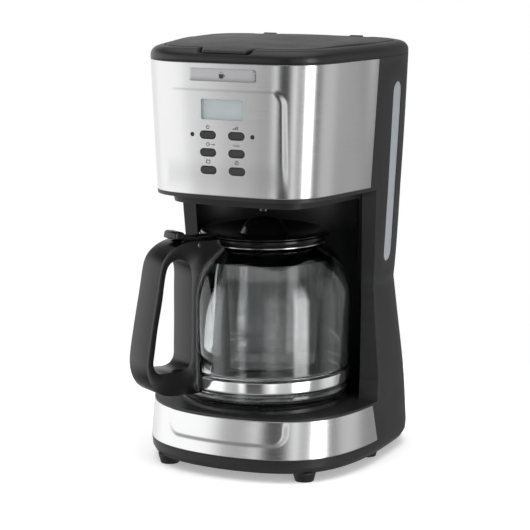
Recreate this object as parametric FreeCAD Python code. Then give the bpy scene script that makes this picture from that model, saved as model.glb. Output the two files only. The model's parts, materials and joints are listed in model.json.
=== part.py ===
import FreeCAD, Part
import os, math
from FreeCAD import Vector as V

os.makedirs("parts", exist_ok=True)

# Drip coffee maker with a glass carafe. Millimetres. +X right, +Y back, +Z up.
# Origin: on the surface it stands on, under the carafe's axis.

# ---------------------------------------------------------------- driving dimensions
WALL = 2.5               # housing wall
STEEL = 0.8              # stainless sheet
FOOT_H = 8.0             # rubber feet
Z_BAND0, Z_BAND1 = 19.2, 50.3      # stainless band of the base
Z_DECK = 52.0            # deck around the warming plate
Z_WAIST = 144.0          # seam between lower and upper housing
Z_CEIL = 225.0           # ceiling over the carafe
Z_HEAD0, Z_HEAD1 = 227.7, 332.0    # stainless band of the head
Z_COLLAR = 342.5         # top edge of the collar
Z_LID = 346.4            # crown of the lid
R_ALCOVE = 80.0          # niche around the carafe
R_PLATE = 65.2           # warming plate
R_WELL = 62.0            # basket well
R_GLASS = 72.7           # carafe body
GLASS_T = 2.2
HANDLE_DEG = 240.0       # heading of the carafe handle, from +X, counter-clockwise
HANDLE_W = 26.0
LCD = (-18.0, 18.0, 287.8, 303.9)
BUTTON_X = 12.3
BUTTON_Z = (275.8, 262.0, 248.15)
BUTTON_W, BUTTON_H = 12.6, 5.2
LED_X, LED_Z, LED_R = 25.9, 275.7, 1.5
WIN_Y0, WIN_Y1, WIN_Z0, WIN_Z1 = 45.0, 61.4, 162.0, 311.0
HINGE_Y, HINGE_Z = 98.2, 341.0
RISER_X, RISER_Y = 14.4, 91.5
PIPE_Z = 41.0

# ---------------------------------------------------------------- plan outlines
# half outlines (x, y), from the front centre line round to the side at y = 45
T332 = [(0, -77.2), (13.4, -77.1), (26.7, -76.8), (40.1, -76.1), (53.1, -73.4), (64.7, -66.9),
        (73.3, -56.7), (78.5, -44.4), (81.9, -31.5), (85.0, -18.5), (88.0, -5.5), (91.0, 7.5),
        (93.6, 17.3), (95.5, 33.6), (96.1, 45.0)]
T228 = [(0, -75.2), (12.5, -75.1), (25.0, -74.9), (37.4, -74.1), (49.6, -71.6), (60.5, -65.6),
        (68.4, -56.1), (73.3, -44.6), (76.5, -32.5), (79.3, -20.4), (82.2, -8.2), (85.0, 3.9),
        (87.6, 16.0), (90.0, 30.0), (91.1, 45.0)]
T50 = [(0, -78.1), (14, -77.5), (28, -75.7), (41.6, -72.5), (54.7, -67.3), (66.5, -59.8),
       (76.1, -49.5), (83.0, -37.4), (88.0, -24.2), (91.5, -10.6), (93.9, 3.2), (95.2, 17.2),
       (95.7, 31.2), (95.8, 45.0)]
T19 = [(0, -82.1), (14.2, -81.5), (28.4, -79.7), (42.2, -76.4), (55.5, -71.2), (67.4, -63.5),
       (77.1, -53.1), (84.2, -40.8), (89.2, -27.5), (92.8, -13.7), (95.2, 0.3), (96.6, 14.5),
       (97.1, 28.8), (97.3, 45.0)]
REAR = [(0.0, 60), (-0.8, 72), (-3.3, 82), (-8.3, 92), (-16.3, 100), (-28.3, 106), (-46.3, 110)]
SIDE = [(0, 97.3), (19.2, 97.3), (50.3, 95.8), (80, 93.2), (106, 90.1), (123, 88.0), (144, 85.6),
        (166, 87.6), (190, 89.1), (217, 90.5), (251, 92.5), (285, 94.3), (332, 96.3), (350, 96.9)]


def lin(tab, z):
    if z <= tab[0][0]:
        return tab[0][1]
    for (a, u), (b, w) in zip(tab, tab[1:]):
        if z <= b:
            return u + (w - u) * (z - a) / (b - a)
    return tab[-1][1]


def resample(poly, n):
    acc = [0.0]
    for (a, b), (c, d) in zip(poly, poly[1:]):
        acc.append(acc[-1] + math.hypot(c - a, d - b))
    out = []
    for i in range(n):
        s = acc[-1] * i / (n - 1)
        k = 0
        while k < len(poly) - 2 and acc[k + 1] < s:
            k += 1
        t = (s - acc[k]) / (acc[k + 1] - acc[k])
        out.append((poly[k][0] + t * (poly[k + 1][0] - poly[k][0]),
                    poly[k][1] + t * (poly[k + 1][1] - poly[k][1])))
    return out


N1 = 15
R332, R228, R50, R19 = [resample(t, N1) for t in (T332, T228, T50, T19)]


def mix(a, b, t):
    return [(p[0] + (q[0] - p[0]) * t, p[1] + (q[1] - p[1]) * t) for p, q in zip(a, b)]


def half_plan(z):
    s = lin(SIDE, z)
    if z >= 227.7:
        f = mix(R228, R332, (z - 227.7) / 104.3)
    elif z >= 144:
        k = s / lin(SIDE, 227.7)
        f = [(x * k, y) for x, y in R228]
    elif z >= 50.3:
        k = s / lin(SIDE, 50.3)
        f = [(x * k, y) for x, y in R50]
    elif z >= 19.2:
        f = mix(R19, R50, (z - 19.2) / 31.1)
    else:
        f = R19
    back = 5.0 * max(0.0, 144.0 - max(z, 19.2)) / 124.8
    r = [(s + dx, y + back * (y - 45) / 68.0) for dx, y in REAR]
    r += [(25.0, 112 + back), (0.0, 113 + back)]
    return f + r


def plan(z, inset=0.0):
    h = half_plan(z)
    loop = h + [(-x, y) for x, y in reversed(h[1:-1])]
    n = len(loop)
    out = []
    for i in range(n):
        ax, ay = loop[i - 1]
        bx, by = loop[(i + 1) % n]
        tx, ty = bx - ax, by - ay
        d = math.hypot(tx, ty)
        out.append((loop[i][0] - inset * ty / d, loop[i][1] + inset * tx / d))
    return out


def wire_at(z, inset=0.0, scale=1.0, cy=17.0):
    c = Part.BSplineCurve()
    c.interpolate(Points=[V(x * scale, cy + (y - cy) * scale, z) for x, y in plan(z if z < 340 else 332, inset)],
                  PeriodicFlag=True)
    return Part.Wire([c.toShape()])


def loft(levels, ruled=False):
    s = Part.makeLoft([wire_at(*lv) for lv in levels], True, ruled)
    if s.Volume < 0:
        s = s.reversed()
    return s


def prism_yz(pts, x0, x1):
    w = Part.makePolygon([V(x0, y, z) for y, z in pts] + [V(x0, pts[0][0], pts[0][1])])
    return Part.Face(w).extrude(V(x1 - x0, 0, 0))


def box(x0, x1, y0, y1, z0, z1):
    return Part.makeBox(x1 - x0, y1 - y0, z1 - z0, V(x0, y0, z0))


def cyl(r, z0, z1, x=0.0, y=0.0):
    return Part.makeCylinder(r, z1 - z0, V(x, y, z0))


def ycyl(r, x, z, y0, y1):
    return Part.makeCylinder(r, y1 - y0, V(x, y0, z), V(0, 1, 0))


def xcyl(r, y, z, x0, x1):
    return Part.makeCylinder(r, x1 - x0, V(x0, y, z), V(1, 0, 0))


def revolve(pts):
    w = Part.makePolygon([V(r, 0, z) for r, z in pts] + [V(pts[0][0], 0, pts[0][1])])
    return Part.Face(w).revolve(V(0, 0, 0), V(0, 0, 1), 360)


def pill(w, h, x, z, y0, y1):
    r = h / 2
    s = box(x - w / 2 + r, x + w / 2 - r, y0, y1, z - r, z + r)
    return s.fuse([ycyl(r, x - w / 2 + r, z, y0, y1), ycyl(r, x + w / 2 - r, z, y0, y1)]).removeSplitter()


def pipe(points, radius, bend):
    edges, p = [], [V(*q) for q in points]
    start = p[0]
    for i in range(1, len(p) - 1):
        a = (p[i - 1] - p[i]).normalize()
        b = (p[i + 1] - p[i]).normalize()
        half = a.getAngle(b) / 2
        cut = bend / math.tan(half)
        s, e = p[i] + a * cut, p[i] + b * cut
        mid_dir = (a + b).normalize()
        m = p[i] + mid_dir * (bend / math.sin(half) - bend)
        edges.append(Part.LineSegment(start, s).toShape())
        edges.append(Part.Arc(s, m, e).toShape())
        start = e
    edges.append(Part.LineSegment(start, p[-1]).toShape())
    path = Part.Wire(edges)
    prof = Part.Wire([Part.Circle(p[0], p[1] - p[0], radius).toShape()])
    return path.makePipeShell([prof], True, True)


def soft_fillet(shape, radius, pick):
    for r in (radius, radius * 0.6, radius * 0.35):
        try:
            e = [x for x in shape.Edges if pick(x)]
            f = shape.makeFillet(r, e)
            if f.isValid() and len(f.Solids) == 1:
                return f
        except Exception:
            pass
    return shape


NODES = {}


def node(name, shape):
    if shape.Volume < 0:
        shape = shape.reversed()
    NODES[name] = shape


def one(shape):
    s = sorted(shape.Solids, key=lambda q: -q.Volume)
    return s[0]


# ---------------------------------------------------------------- outer envelopes
UP_Z = [144, 172, 200, 227.7, 262, 297, 332]
LO_Z = [19.2, 34.7, 50.3, 81, 112, 144]
up_outer = loft([(z, 0.0) for z in UP_Z])
lo_outer = loft([(z, 0.0) for z in LO_Z])
rim = loft([(8.0, 3.2), (12.5, 0.6), (19.2, 0.0)], True)

# front of the two column wings, as it leans with the waist
WING = [(15.5, 52.0), (17.0, 59.0), (20.0, 68.0), (22.0, 93.0), (24.6, 117.0), (30.0, 144.0),
        (27.6, 175.0), (24.6, 217.0), (24.2, 225.0)]
wing_cut = prism_yz([(-150, 52.0)] + WING + [(-150, 225.0)], -130, 130)
wing_in = prism_yz([(-150, -5.0), (18.0, -5.0)] + [(y + WALL, z) for y, z in WING] + [(26.7, 229), (-150, 229.0)], -130, 130)
alcove = wing_cut.fuse(cyl(R_ALCOVE, Z_DECK, Z_CEIL))

# ---------------------------------------------------------------- stainless bands
def band(z0, z1, y_low, y_high, extra=0.0):
    zs = [z0, (z0 + z1) / 2, z1] if z1 < 100 else [z0, 262, 297, z1]
    out = loft([(z, 0.0 if not extra else -1.0) for z in zs])
    inn = loft([(z, STEEL) for z in zs])
    keep = prism_yz([(-150, z0), (y_low + extra, z0), (y_high + extra, z1), (-150, z1)], -130, 130)
    return one(out.cut(inn).common(keep))

head_band = band(Z_HEAD0, Z_HEAD1, 15.3, 16.8)
base_band = band(Z_BAND0, Z_BAND1, 13.3, 7.1)
head_room = band(Z_HEAD0, Z_HEAD1, 15.3, 16.8, 0.5)
base_room = band(Z_BAND0, Z_BAND1, 13.3, 7.1, 0.5)

def panel_y(z):
    return -75.2 - 2.0 * (z - 227.7) / 104.3

holes = [box(LCD[0], LCD[1], -90, -60, LCD[2], LCD[3])]
for zc in BUTTON_Z:
    for sx in (-1, 1):
        holes.append(pill(14.2, 6.7, sx * BUTTON_X, zc, -90, -60))
for sx in (-1, 1):
    holes.append(ycyl(LED_R + 0.2, sx * LED_X, LED_Z, -90, -60))
node("head_trim_band", one(head_band.cut(holes)))
node("base_trim_band", base_band)

# ---------------------------------------------------------------- upper housing
def side_loft(zs, inset):
    return loft([(z, inset) for z in zs])

u = up_outer.cut(alcove)
up_in = side_loft(UP_Z, WALL)
SLAB = lambda a, b: box(-130, 130, -130, 150, a, b)
c1 = up_in.common(SLAB(144.0, 227.5)).cut([wing_in, cyl(R_ALCOVE + WALL, 100, 240)])
c2 = up_in.common(SLAB(227.5, 332.0)).cut(cyl(R_WELL + 2.0, 220, 320).cut(cyl(R_WELL, 219, 321)))
u = u.cut([c1, c2])
u = u.cut([cyl(34.0, 220, 230)])
u = u.cut(head_room)
# opening for the keypad frame
u = u.cut(box(-33.2, 33.2, -90, -66, 239.8, 312.2))
# skirt hanging below the head
skirt = loft([(218.0, 13.2), (225.5, 12.0)]).cut(loft([(217.5, 15.6), (226.0, 14.4)])).common(box(-130, 130, -150, 26, 210, 225.2))
u = one(u.fuse(skirt))
# slot for the level window
def slot_prism(gap):
    r = (WIN_Y1 - WIN_Y0) / 2 - gap
    yc = (WIN_Y0 + WIN_Y1) / 2
    a = box(60, 110, WIN_Y0 + gap, WIN_Y1 - gap, WIN_Z0 + gap + r, WIN_Z1 - gap - r)
    return a.fuse([xcyl(r, yc, WIN_Z0 + gap + r, 60, 110), xcyl(r, yc, WIN_Z1 - gap - r, 60, 110)]).removeSplitter()
u = u.cut(slot_prism(0.0))
node("upper_housing", one(u))
win = side_loft(UP_Z, 0.5).common(slot_prism(0.1)).cut(up_in)
node("water_level_window", one(win))

# ---------------------------------------------------------------- lower housing
l = lo_outer.fuse(rim)
l = l.cut(alcove)
lo_in = side_loft(LO_Z, WALL)
low = loft([(8.0, 5.8), (12.5, 3.2), (19.2, WALL)], True)
cav = lo_in.common(SLAB(19.2, 49.5))
colm = lo_in.common(SLAB(49.5, 144.0)).cut([wing_in, cyl(R_ALCOVE + WALL, 30, 160)])
l = l.cut([low, cav, colm])
l = l.cut([cyl(62.0, 45, 60), base_room])
GLAND = (30.0, 30.0)
l = l.cut(ycyl(6.0, GLAND[0], GLAND[1], 100, 130))
POSTS = [(-74, -34), (74, -34), (-48, 100), (48, 100)]
for px, py in POSTS:
    post = cyl(4.0, 11.0, 50.0 if py < 0 else 48.0, px, py)
    if py > 0:
        post = post.fuse(box(px - 1.2, px + 1.2, py, 114.5, 11.0, 48.0))
    l = l.fuse(post)
for px, py in POSTS:
    l = l.cut(cyl(1.4, 8, 30, px, py))
node("lower_housing", one(l))

# bottom cover
pan = loft([(8.0, 6.1), (10.8, 4.8)], True)
FEET = [(-60.5, -54), (60.5, -54), (-79.6, 32), (79.6, 32), (-70, 98), (70, 98)]
for fx, fy in FEET:
    pan = pan.cut(cyl(3.0, 5, 15, fx, fy))
for px, py in POSTS:
    pan = pan.cut(cyl(1.8, 5, 15, px, py)).cut(cyl(3.4, 5, 9.4, px, py))
for i in range(7):
    pan = pan.cut(box(-24 + i * 8 - 1.5, -24 + i * 8 + 1.5, -20, 20, 5, 15))
node("base_pan", one(pan))
feet = []
for fx, fy in FEET:
    f = Part.makeCone(7.6, 9.4, 6.5, V(fx, fy, 0)).fuse(cyl(9.4, 6.5, 8.0, fx, fy)).fuse(cyl(2.8, 8.0, 12.5, fx, fy)).fuse(cyl(3.6, 10.8, 12.5, fx, fy))
    feet.append(f.removeSplitter())
node("rubber_feet", Part.makeCompound(feet))
node("base_screws", Part.makeCompound([cyl(3.1, 8.2, 9.4, x, y).fuse(cyl(1.35, 9.4, 26, x, y)) for x, y in POSTS]))
gl = ycyl(8.2, GLAND[0], GLAND[1], 0, 3).cut(ycyl(3.6, GLAND[0], GLAND[1], -2, 5))
gy = 116.6
gl = ycyl(8.2, GLAND[0], GLAND[1], gy, gy + 2.4).fuse(ycyl(5.9, GLAND[0], GLAND[1], gy - 7, gy)).fuse(ycyl(7.2, GLAND[0], GLAND[1], gy - 7, gy - 4.6))
gl = gl.cut(ycyl(3.6, GLAND[0], GLAND[1], gy - 9, gy + 5)).cut(NODES["lower_housing"])
node("cord_gland", one(gl))

# ---------------------------------------------------------------- warming plate and heater
node("warming_plate", revolve([(0, 55.4), (63.6, 55.4), (63.6, 52.0), (R_PLATE, 52.0), (R_PLATE, 56.2), (64.4, 57.0), (0, 57.0)]))
node("plate_seal", revolve([(65.4, 52.0), (69.4, 52.0), (69.0, 54.6), (67.6, 55.6), (65.4, 55.6)]))
arc = []
RH = 42.0
a0, a1 = math.radians(110), math.radians(430)
am = (a0 + a1) / 2
def ring_sweep(face_wire):
    e = Part.Arc(V(RH * math.cos(a0), RH * math.sin(a0), PIPE_Z), V(RH * math.cos(am), RH * math.sin(am), PIPE_Z),
                 V(RH * math.cos(a1), RH * math.sin(a1), PIPE_Z)).toShape()
    return e
def arc_solid(pts):
    w = Part.makePolygon([V(RH + r, 0, z) for r, z in pts] + [V(RH + pts[0][0], 0, pts[0][1])])
    f = Part.Face(w)
    f.rotate(V(0, 0, 0), V(0, 0, 1), 110)
    return f.revolve(V(0, 0, 0), V(0, 0, 1), 320)
sec = [(-7, 55.4), (7, 55.4), (7, 47), (6, 45)]
sec += [(6 * math.cos(math.radians(t)), PIPE_Z + 6 * math.sin(math.radians(t))) for t in range(20, -201, -20)]
sec += [(-6, 45), (-7, 47)]
heat = arc_solid(sec)
for sx in (-1, 1):
    heat = heat.fuse(ycyl(5.0, sx * RISER_X, PIPE_Z, 36.5, 62.0))
for sx in (-1, 1):
    heat = heat.cut(ycyl(3.2, sx * RISER_X, PIPE_Z, 42.0, 63.0))
node("heater_block", one(heat))
clamp = box(-9, 9, -58, 52, 32.6, 34.8)
clamp = clamp.cut(cyl(2.2, 30, 40, 0, 0))
node("heater_clamp", clamp)
node("clamp_screw", cyl(4.0, 30.4, 32.6).fuse(cyl(2.1, 32.6, 55.4)))
node("thermostat", cyl(8.5, 26.4, 32.6, 0, -28).fuse(box(-3, 3, -45, -36.3, 29, 30.0)).fuse(box(-3, 3, -19.7, -11, 29, 30.0)).removeSplitter())
node("thermal_fuse", xcyl(2.2, 24, 30.4, -14, 14).fuse(xcyl(0.7, 24, 30.4, -24, 24)).removeSplitter())

# ---------------------------------------------------------------- water tank and its plumbing
TI = WALL + 0.9
def tank_region(inset, grow, z0, top):
    env = side_loft(UP_Z, inset)
    lo = env.common(SLAB(z0, 228.2 + 1.5 * grow)).cut([cyl(R_ALCOVE + WALL + 0.7 + grow, 100, 240), cyl(7.4 + grow, 100, 240, RISER_X, RISER_Y)])
    hi = env.common(SLAB(228.0 + grow * 1.1, top)).cut([cyl(R_WELL + 3.2 + grow, 200, 350), cyl(7.4 + grow, 100, 350, RISER_X, RISER_Y)])
    return lo.fuse(hi).common(box(-130, 130, 36.0 + grow, 130, 140, 400))
tank = tank_region(TI, 0.0, 150.0, 322.0).cut(tank_region(TI + 1.8, 1.8, 152.0, 330.0))
OUT = (-RISER_X, 92.0)
tank = tank.cut(cyl(5.0, 145, 160, OUT[0], OUT[1]))
node("water_tank", one(tank.removeSplitter()))
body = cyl(7.6, 138.0, 150.0, OUT[0], OUT[1]).fuse(cyl(4.9, 150.0, 153.5, OUT[0], OUT[1])).fuse(cyl(3.9, 128.0, 138.0, OUT[0], OUT[1]))
body = body.cut([cyl(5.2, 139.6, 148.4, OUT[0], OUT[1]), cyl(2.6, 120, 141, OUT[0], OUT[1]), cyl(2.6, 146, 156, OUT[0], OUT[1])])
node("check_valve_body", body.removeSplitter())
node("check_valve_ball", Part.makeSphere(3.4, V(OUT[0], OUT[1], 141.95)))
cold = pipe([(OUT[0], 62.2, PIPE_Z), (OUT[0], 92.0, PIPE_Z), (OUT[0], 92.0, 137.8)], 6.0, 16.0)
bore = pipe([(OUT[0], 60.2, PIPE_Z), (OUT[0], 92.0, PIPE_Z), (OUT[0], 92.0, 140.8)], 4.0, 16.0)
node("cold_water_hose", one(cold.cut(bore)))
hot = pipe([(RISER_X, 62.2, PIPE_Z), (RISER_X, RISER_Y, PIPE_Z), (RISER_X, RISER_Y, 326.0)], 6.0, 16.0)
hbore = pipe([(RISER_X, 60.2, PIPE_Z), (RISER_X, RISER_Y, PIPE_Z), (RISER_X, RISER_Y, 328.0)], 4.0, 16.0)
node("hot_water_riser", one(hot.cut(hbore)))
node("riser_seal", cyl(7.8, 326.0, 331.5, RISER_X, RISER_Y).cut(cyl(4.0, 320, 340, RISER_X, RISER_Y)))

# ---------------------------------------------------------------- top collar
col = loft([(332.0, 0.0), (335.2, 0.0), (337.4, 0.5), (339.4, 1.8), (341.0, 4.2), (342.1, 7.8), (342.5, 13.0)])
col = col.cut(side_loft([331, 350], 15.6))
col = col.cut(loft([(338.2, 11.6), (350.0, 11.6)]))
col = col.cut(box(-74, 74, 90, 104.0, 330, 350).common(loft([(331.0, 8.6), (350.0, 8.6)])))
col = col.cut(cyl(64.3, 330, 350))
col = col.cut(box(-23.2, 23.2, -90, -60, 339.0, 350))
for sx in (-1, 1):
    lug = box(min(sx * 46, sx * 54), max(sx * 46, sx * 54), 93.4, 104.5, 334.0, 342.9)
    col = col.fuse(lug)
    col = col.cut(xcyl(1.5, HINGE_Y, HINGE_Z, *sorted((sx * 45, sx * 53.2))))
node("top_collar", one(col))
pins = [xcyl(1.5, HINGE_Y, HINGE_Z, *sorted((sx * 34.5, sx * 53.2))) for sx in (-1, 1)]
node("lid_hinge_pins", Part.makeCompound(pins))

# ---------------------------------------------------------------- lid
lid = loft([(338.5, 12.1), (342.6, 12.1)])
dome = Part.makeLoft([wire_at(342.6, 12.1), wire_at(343.6, 12.9), wire_at(344.8, 12.1, 0.90), wire_at(345.8, 12.1, 0.70),
                      wire_at(346.4, 12.1, 0.35)], True, True)
lid = lid.fuse(dome)
lid = lid.cut(loft([(337.0, 15.0), (341.0, 15.0)]))
tab = box(-21.6, 21.6, -75.6, -60.0, 339.3, 341.8)
tab = soft_fillet(tab, 5.0, lambda e: abs(e.Vertexes[0].X - e.Vertexes[-1].X) < 1e-6 and abs(e.Vertexes[0].Y - e.Vertexes[-1].Y) < 1e-6 and e.Vertexes[0].Y < -70)
lid = lid.fuse(tab)
for sx in (-1, 1):
    k = box(*sorted((sx * 34.5, sx * 45.4)), 94.8, 100.2, 337.4, 341.2)
    lid = lid.fuse(k)
    lid = lid.cut(box(*sorted((sx * 45.4, sx * 54.6)), 92.8, 110, 330, 350))
    lid = lid.cut(xcyl(1.56, HINGE_Y, HINGE_Z, *sorted((sx * 34.2, sx * 46))))
node("lid", one(lid))
duct = box(-13, 21.5, 4, 97.0, 335.0, 341.0).cut(box(-11.4, 19.9, 5.6, 95.4, 336.6, 339.8))
spray = cyl(24.0, 330.5, 335.0).cut(cyl(22.4, 332.0, 336.6)).cut([cyl(1.5, 329, 333, 15 * math.cos(t * math.pi / 4), 15 * math.sin(t * math.pi / 4)) for t in range(8)])
neck = cyl(24.0, 335.0, 341.0).cut(cyl(22.4, 334.0, 339.8))
port = cyl(6.6, 332.0, 336.0, RISER_X, RISER_Y - 0.0)
sp = spray.fuse([neck, duct, port]).cut([cyl(4.0, 330, 338, RISER_X, RISER_Y), box(-11.4, 19.9, 5.6, 95.4, 336.6, 339.8), cyl(22.4, 333.0, 339.8)])
node("spray_head", one(sp))

# ---------------------------------------------------------------- brew basket and drip stop
node("brew_basket", revolve([(11.0, 209.0), (11.0, 221.5), (18.0, 224.2), (24.0, 226.0), (50.0, 236.0), (58.6, 316.0), (58.6, 320.3),
                             (63.2, 320.3), (63.2, 322.4), (56.4, 322.4), (48.2, 238.0), (22.0, 228.2), (8.0, 225.6), (4.5, 225.6),
                             (4.5, 222.0), (8.6, 222.0), (8.6, 209.0)]))
valve = revolve([(0, 204.6), (2.6, 204.6), (3.8, 205.8), (3.8, 209.3), (7.9, 209.3), (7.9, 210.9), (3.8, 210.9), (3.8, 228.8), (7.4, 228.8), (7.4, 230.6), (3.0, 232.4), (0, 232.4)])
node("drip_stop_valve", valve)
turns, zs0, zs1, rs = 4.5, 211.7, 221.2, 6.3
cs = Part.BSplineCurve()
cs.interpolate(Points=[V(rs * math.cos(2 * math.pi * turns * i / 72), rs * math.sin(2 * math.pi * turns * i / 72), zs0 + (zs1 - zs0) * i / 72)
                       for i in range(73)])
t0 = cs.tangent(cs.FirstParameter)[0]
prof = Part.Wire([Part.Circle(V(rs, 0, zs0), t0, 0.6).toShape()])
spring = Part.Wire([cs.toShape()]).makePipeShell([prof], True, True)
node("drip_stop_spring", spring)

# ---------------------------------------------------------------- control panel
plate = box(-33.0, 33.0, -74.3, -72.3, 240.0, 312.0).common(loft([(z, 1.0) for z in (236.0, 262.0, 290.0, 316.0)]))
plate = plate.cut([box(-20.4, 20.4, -80, -60, 285.0, 307.0)])
for sx in (-1, 1):
    for zc in (243.5, 308.5):
        plate = plate.fuse(ycyl(2.6, sx * 29.0, zc, -72.3, -66.9))
for zc in BUTTON_Z:
    for sx in (-1, 1):
        plate = plate.fuse(pill(14.0, 6.5, sx * BUTTON_X, zc, panel_y(zc) - 0.55, -74.2))
for zc in BUTTON_Z:
    for sx in (-1, 1):
        plate = plate.cut(pill(12.9, 5.5, sx * BUTTON_X, zc, -90, -60))
for sx in (-1, 1):
    plate = plate.cut(ycyl(1.7, sx * LED_X, LED_Z, -90, -60))
    for zc in (243.5, 308.5):
        plate = plate.cut(ycyl(1.1, sx * 29.0, zc, -71.0, -60))
node("keypad_frame", one(plate))
names = [("power_button", -1, 0), ("strength_button", 1, 0), ("delay_button", -1, 1), ("minute_button", 1, 1),
         ("program_button", -1, 2), ("hour_button", 1, 2)]
BTN_TRAVEL = 1.0
for nm, sx, row in names:
    zc = BUTTON_Z[row]
    cap = pill(BUTTON_W, BUTTON_H, sx * BUTTON_X, zc, panel_y(zc) - 1.1, -72.1)
    cap = soft_fillet(cap, 0.5, lambda e: e.BoundBox.YMax < panel_y(zc) - 1.05)
    b = cap.fuse([pill(15.0, 7.6, sx * BUTTON_X, zc, -72.15, -71.3), ycyl(1.6, sx * BUTTON_X, zc, -71.4, -70.6)])
    node(nm, one(b.removeSplitter()))
node("lcd_lens", box(-19.6, 19.6, -75.5, -74.35, 286.0, 305.8).common(loft([(z, STEEL + 0.02) for z in (284.0, 297.0, 310.0)])))
node("lcd_module", box(-20.0, 20.0, -74.3, -67.0, 285.4, 306.6))
lights = []
for sx in (-1, 1):
    g = ycyl(LED_R, sx * LED_X, LED_Z, panel_y(LED_Z) - 0.3, -67.0)
    lights.append(soft_fillet(g, 0.6, lambda e: e.BoundBox.YMax < -75))
node("indicator_lights", Part.makeCompound(lights))
pcb = box(-32.0, 32.0, -66.9, -65.5, 240.5, 311.5)
for sx in (-1, 1):
    for zc in (243.5, 308.5):
        pcb = pcb.cut(ycyl(1.3, sx * 29.0, zc, -70, -60))
node("control_board", pcb)
tacts = []
for zc in BUTTON_Z:
    for sx in (-1, 1):
        x = sx * BUTTON_X
        tacts.append(box(x - 3, x + 3, -69.0, -66.9, zc - 3, zc + 3).fuse(ycyl(1.5, x, zc, -69.4, -69.0)).removeSplitter())
node("tact_switches", Part.makeCompound(tacts))
node("board_screws", Part.makeCompound([ycyl(2.4, sx * 29.0, zc, -65.5, -64.1).fuse(ycyl(1.08, sx * 29.0, zc, -70.6, -65.5)).removeSplitter()
                                        for sx in (-1, 1) for zc in (243.5, 308.5)]))
badge = box(-28.5, 28.5, -78.4, -76.0, 317.5, 327.5)
badge = soft_fillet(badge, 2.4, lambda e: abs(e.Vertexes[0].Y - e.Vertexes[-1].Y) > 1)
node("name_plate", one(badge.common(loft([(z, -0.9) for z in (312, 322, 332)])).cut(loft([(z, -0.08) for z in (312, 322, 332)]))))

# ---------------------------------------------------------------- carafe (axis at x = 0, y = 0)
OUTER = [(0, 57.4), (60.0, 57.3), (66.5, 57.9), (70.6, 59.4), (72.8, 62.4), (73.0, 65.0), (72.2, 67.2), (70.6, 68.6), (70.5, 78.4),
         (72.0, 80.0), (R_GLASS, 82.0), (R_GLASS, 138.5), (72.3, 143.5), (70.9, 148.5), (69.2, 153.7), (66.6, 159.6), (62.6, 165.5),
         (58.5, 170.6), (52.9, 176.2), (48.6, 180.2), (46.6, 182.6), (46.2, 185.0), (47.4, 187.4)]
def inward(pts, t):
    out = []
    for i, (r, z) in enumerate(pts):
        a = pts[max(0, i - 1)]
        b = pts[min(len(pts) - 1, i + 1)]
        tr, tz = b[0] - a[0], b[1] - a[1]
        d = math.hypot(tr, tz)
        out.append((max(0.0, r - t * tz / d), z + t * tr / d))
    return out
inner = inward(OUTER, GLASS_T)
inner[0] = (0, 57.4 + GLASS_T + 1.2)
inner[1] = (58.0, 57.4 + GLASS_T + 1.0)
glass = revolve(OUTER + list(reversed(inner)))
ha = math.radians(HANDLE_DEG)
H = V(math.cos(ha), math.sin(ha), 0)
SP = V(-H.x, -H.y, 0)
def cone_at(r1, r2, z1, z2, d):
    return Part.makeCone(r1, r2, z2 - z1, V(SP.x * d, SP.y * d, z1))
spout = cone_at(8.0, 17.0, 177.0, 188.6, 42.0).cut(cone_at(6.2, 15.2, 176.98, 188.62, 42.0))
spout = spout.cut(revolve([(0, 150)] + [(r, z) for r, z in inner[14:]] + [(46.2, 195), (0, 195)]))
glass = glass.fuse(spout)
notch = cone_at(6.2, 15.2, 176.98, 188.62, 42.0).common(cyl(60, 183.5, 195))
glass = one(glass.cut(notch))
node("carafe_glass", glass)
node("carafe_band", revolve([(70.6, 68.9), (71.7, 68.9), (71.9, 69.5), (71.9, 77.5), (71.7, 78.1), (70.6, 78.1)]))

T = V(-H.y, H.x, 0)
if T.y > 0:
    T = V(-T.x, -T.y, 0)
def rz(r, z, off=0.0):
    return V(H.x * r + T.x * off, H.y * r + T.y * off, z)
def closed_spline(pts, off):
    c = Part.BSplineCurve()
    c.interpolate(Points=[V(r, z, 0) for r, z in pts], PeriodicFlag=True)
    n = len(pts) * 3
    a, b = c.FirstParameter, c.LastParameter
    q = [c.value(a + (b - a) * i / n) for i in range(n)]
    return Part.makePolygon([rz(p.x, p.y, off) for p in q] + [rz(q[0].x, q[0].y, off)])
HO = [(50.0, 182.0), (51.0, 187.2), (60.0, 189.0), (71.0, 189.8), (83.0, 189.6), (93.3, 186.8), (101.3, 182.0), (106.2, 176.0),
      (108.6, 169.0), (110.6, 158.5), (114.2, 140.0), (118.2, 119.5), (120.9, 104.0), (121.8, 95.5), (121.3, 87.5), (118.6, 79.6),
      (113.2, 72.6), (105.0, 68.2), (94.0, 66.6), (84.0, 66.2), (74.0, 66.4), (70.0, 70.0), (70.0, 90.0), (70.0, 115.0), (69.5, 140.0), (66.0, 158.0), (58.0, 170.0)]
HG = [(79.4, 155.0), (79.6, 166.0), (82.2, 173.0), (88.0, 176.6), (95.0, 176.2), (100.4, 172.4), (103.0, 166.2), (106.4, 146.5), (111.2, 123.0), (114.8, 100.5),
      (114.9, 92.0), (111.5, 87.6), (100.3, 86.4), (87.0, 86.6), (81.8, 90.4), (80.2, 99.0), (79.8, 118.6), (79.6, 142.9)]
fo = Part.Face(closed_spline(HO, -HANDLE_W / 2))
fg = Part.Face(closed_spline(HG, -HANDLE_W / 2))
hbody = fo.extrude(T * HANDLE_W).cut(fg.extrude(T * HANDLE_W))
clear = revolve([(0, 50)] + [(r + 0.25, z) for r, z in OUTER[1:]] + [(53.4, 188.0), (53.4, 200), (0, 200)])
hbody = hbody.cut(clear).cut(revolve([(60, 68.6), (73.4, 68.6), (73.4, 78.4), (60, 78.4)]))
hbody = hbody.cut(revolve([(0, 182.3), (50.7, 182.3), (53.1, 184.7), (53.6, 188.4), (53.6, 200), (0, 200)]))
hbody = one(hbody)
def big_edges(e):
    return e.Length > 60
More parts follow.
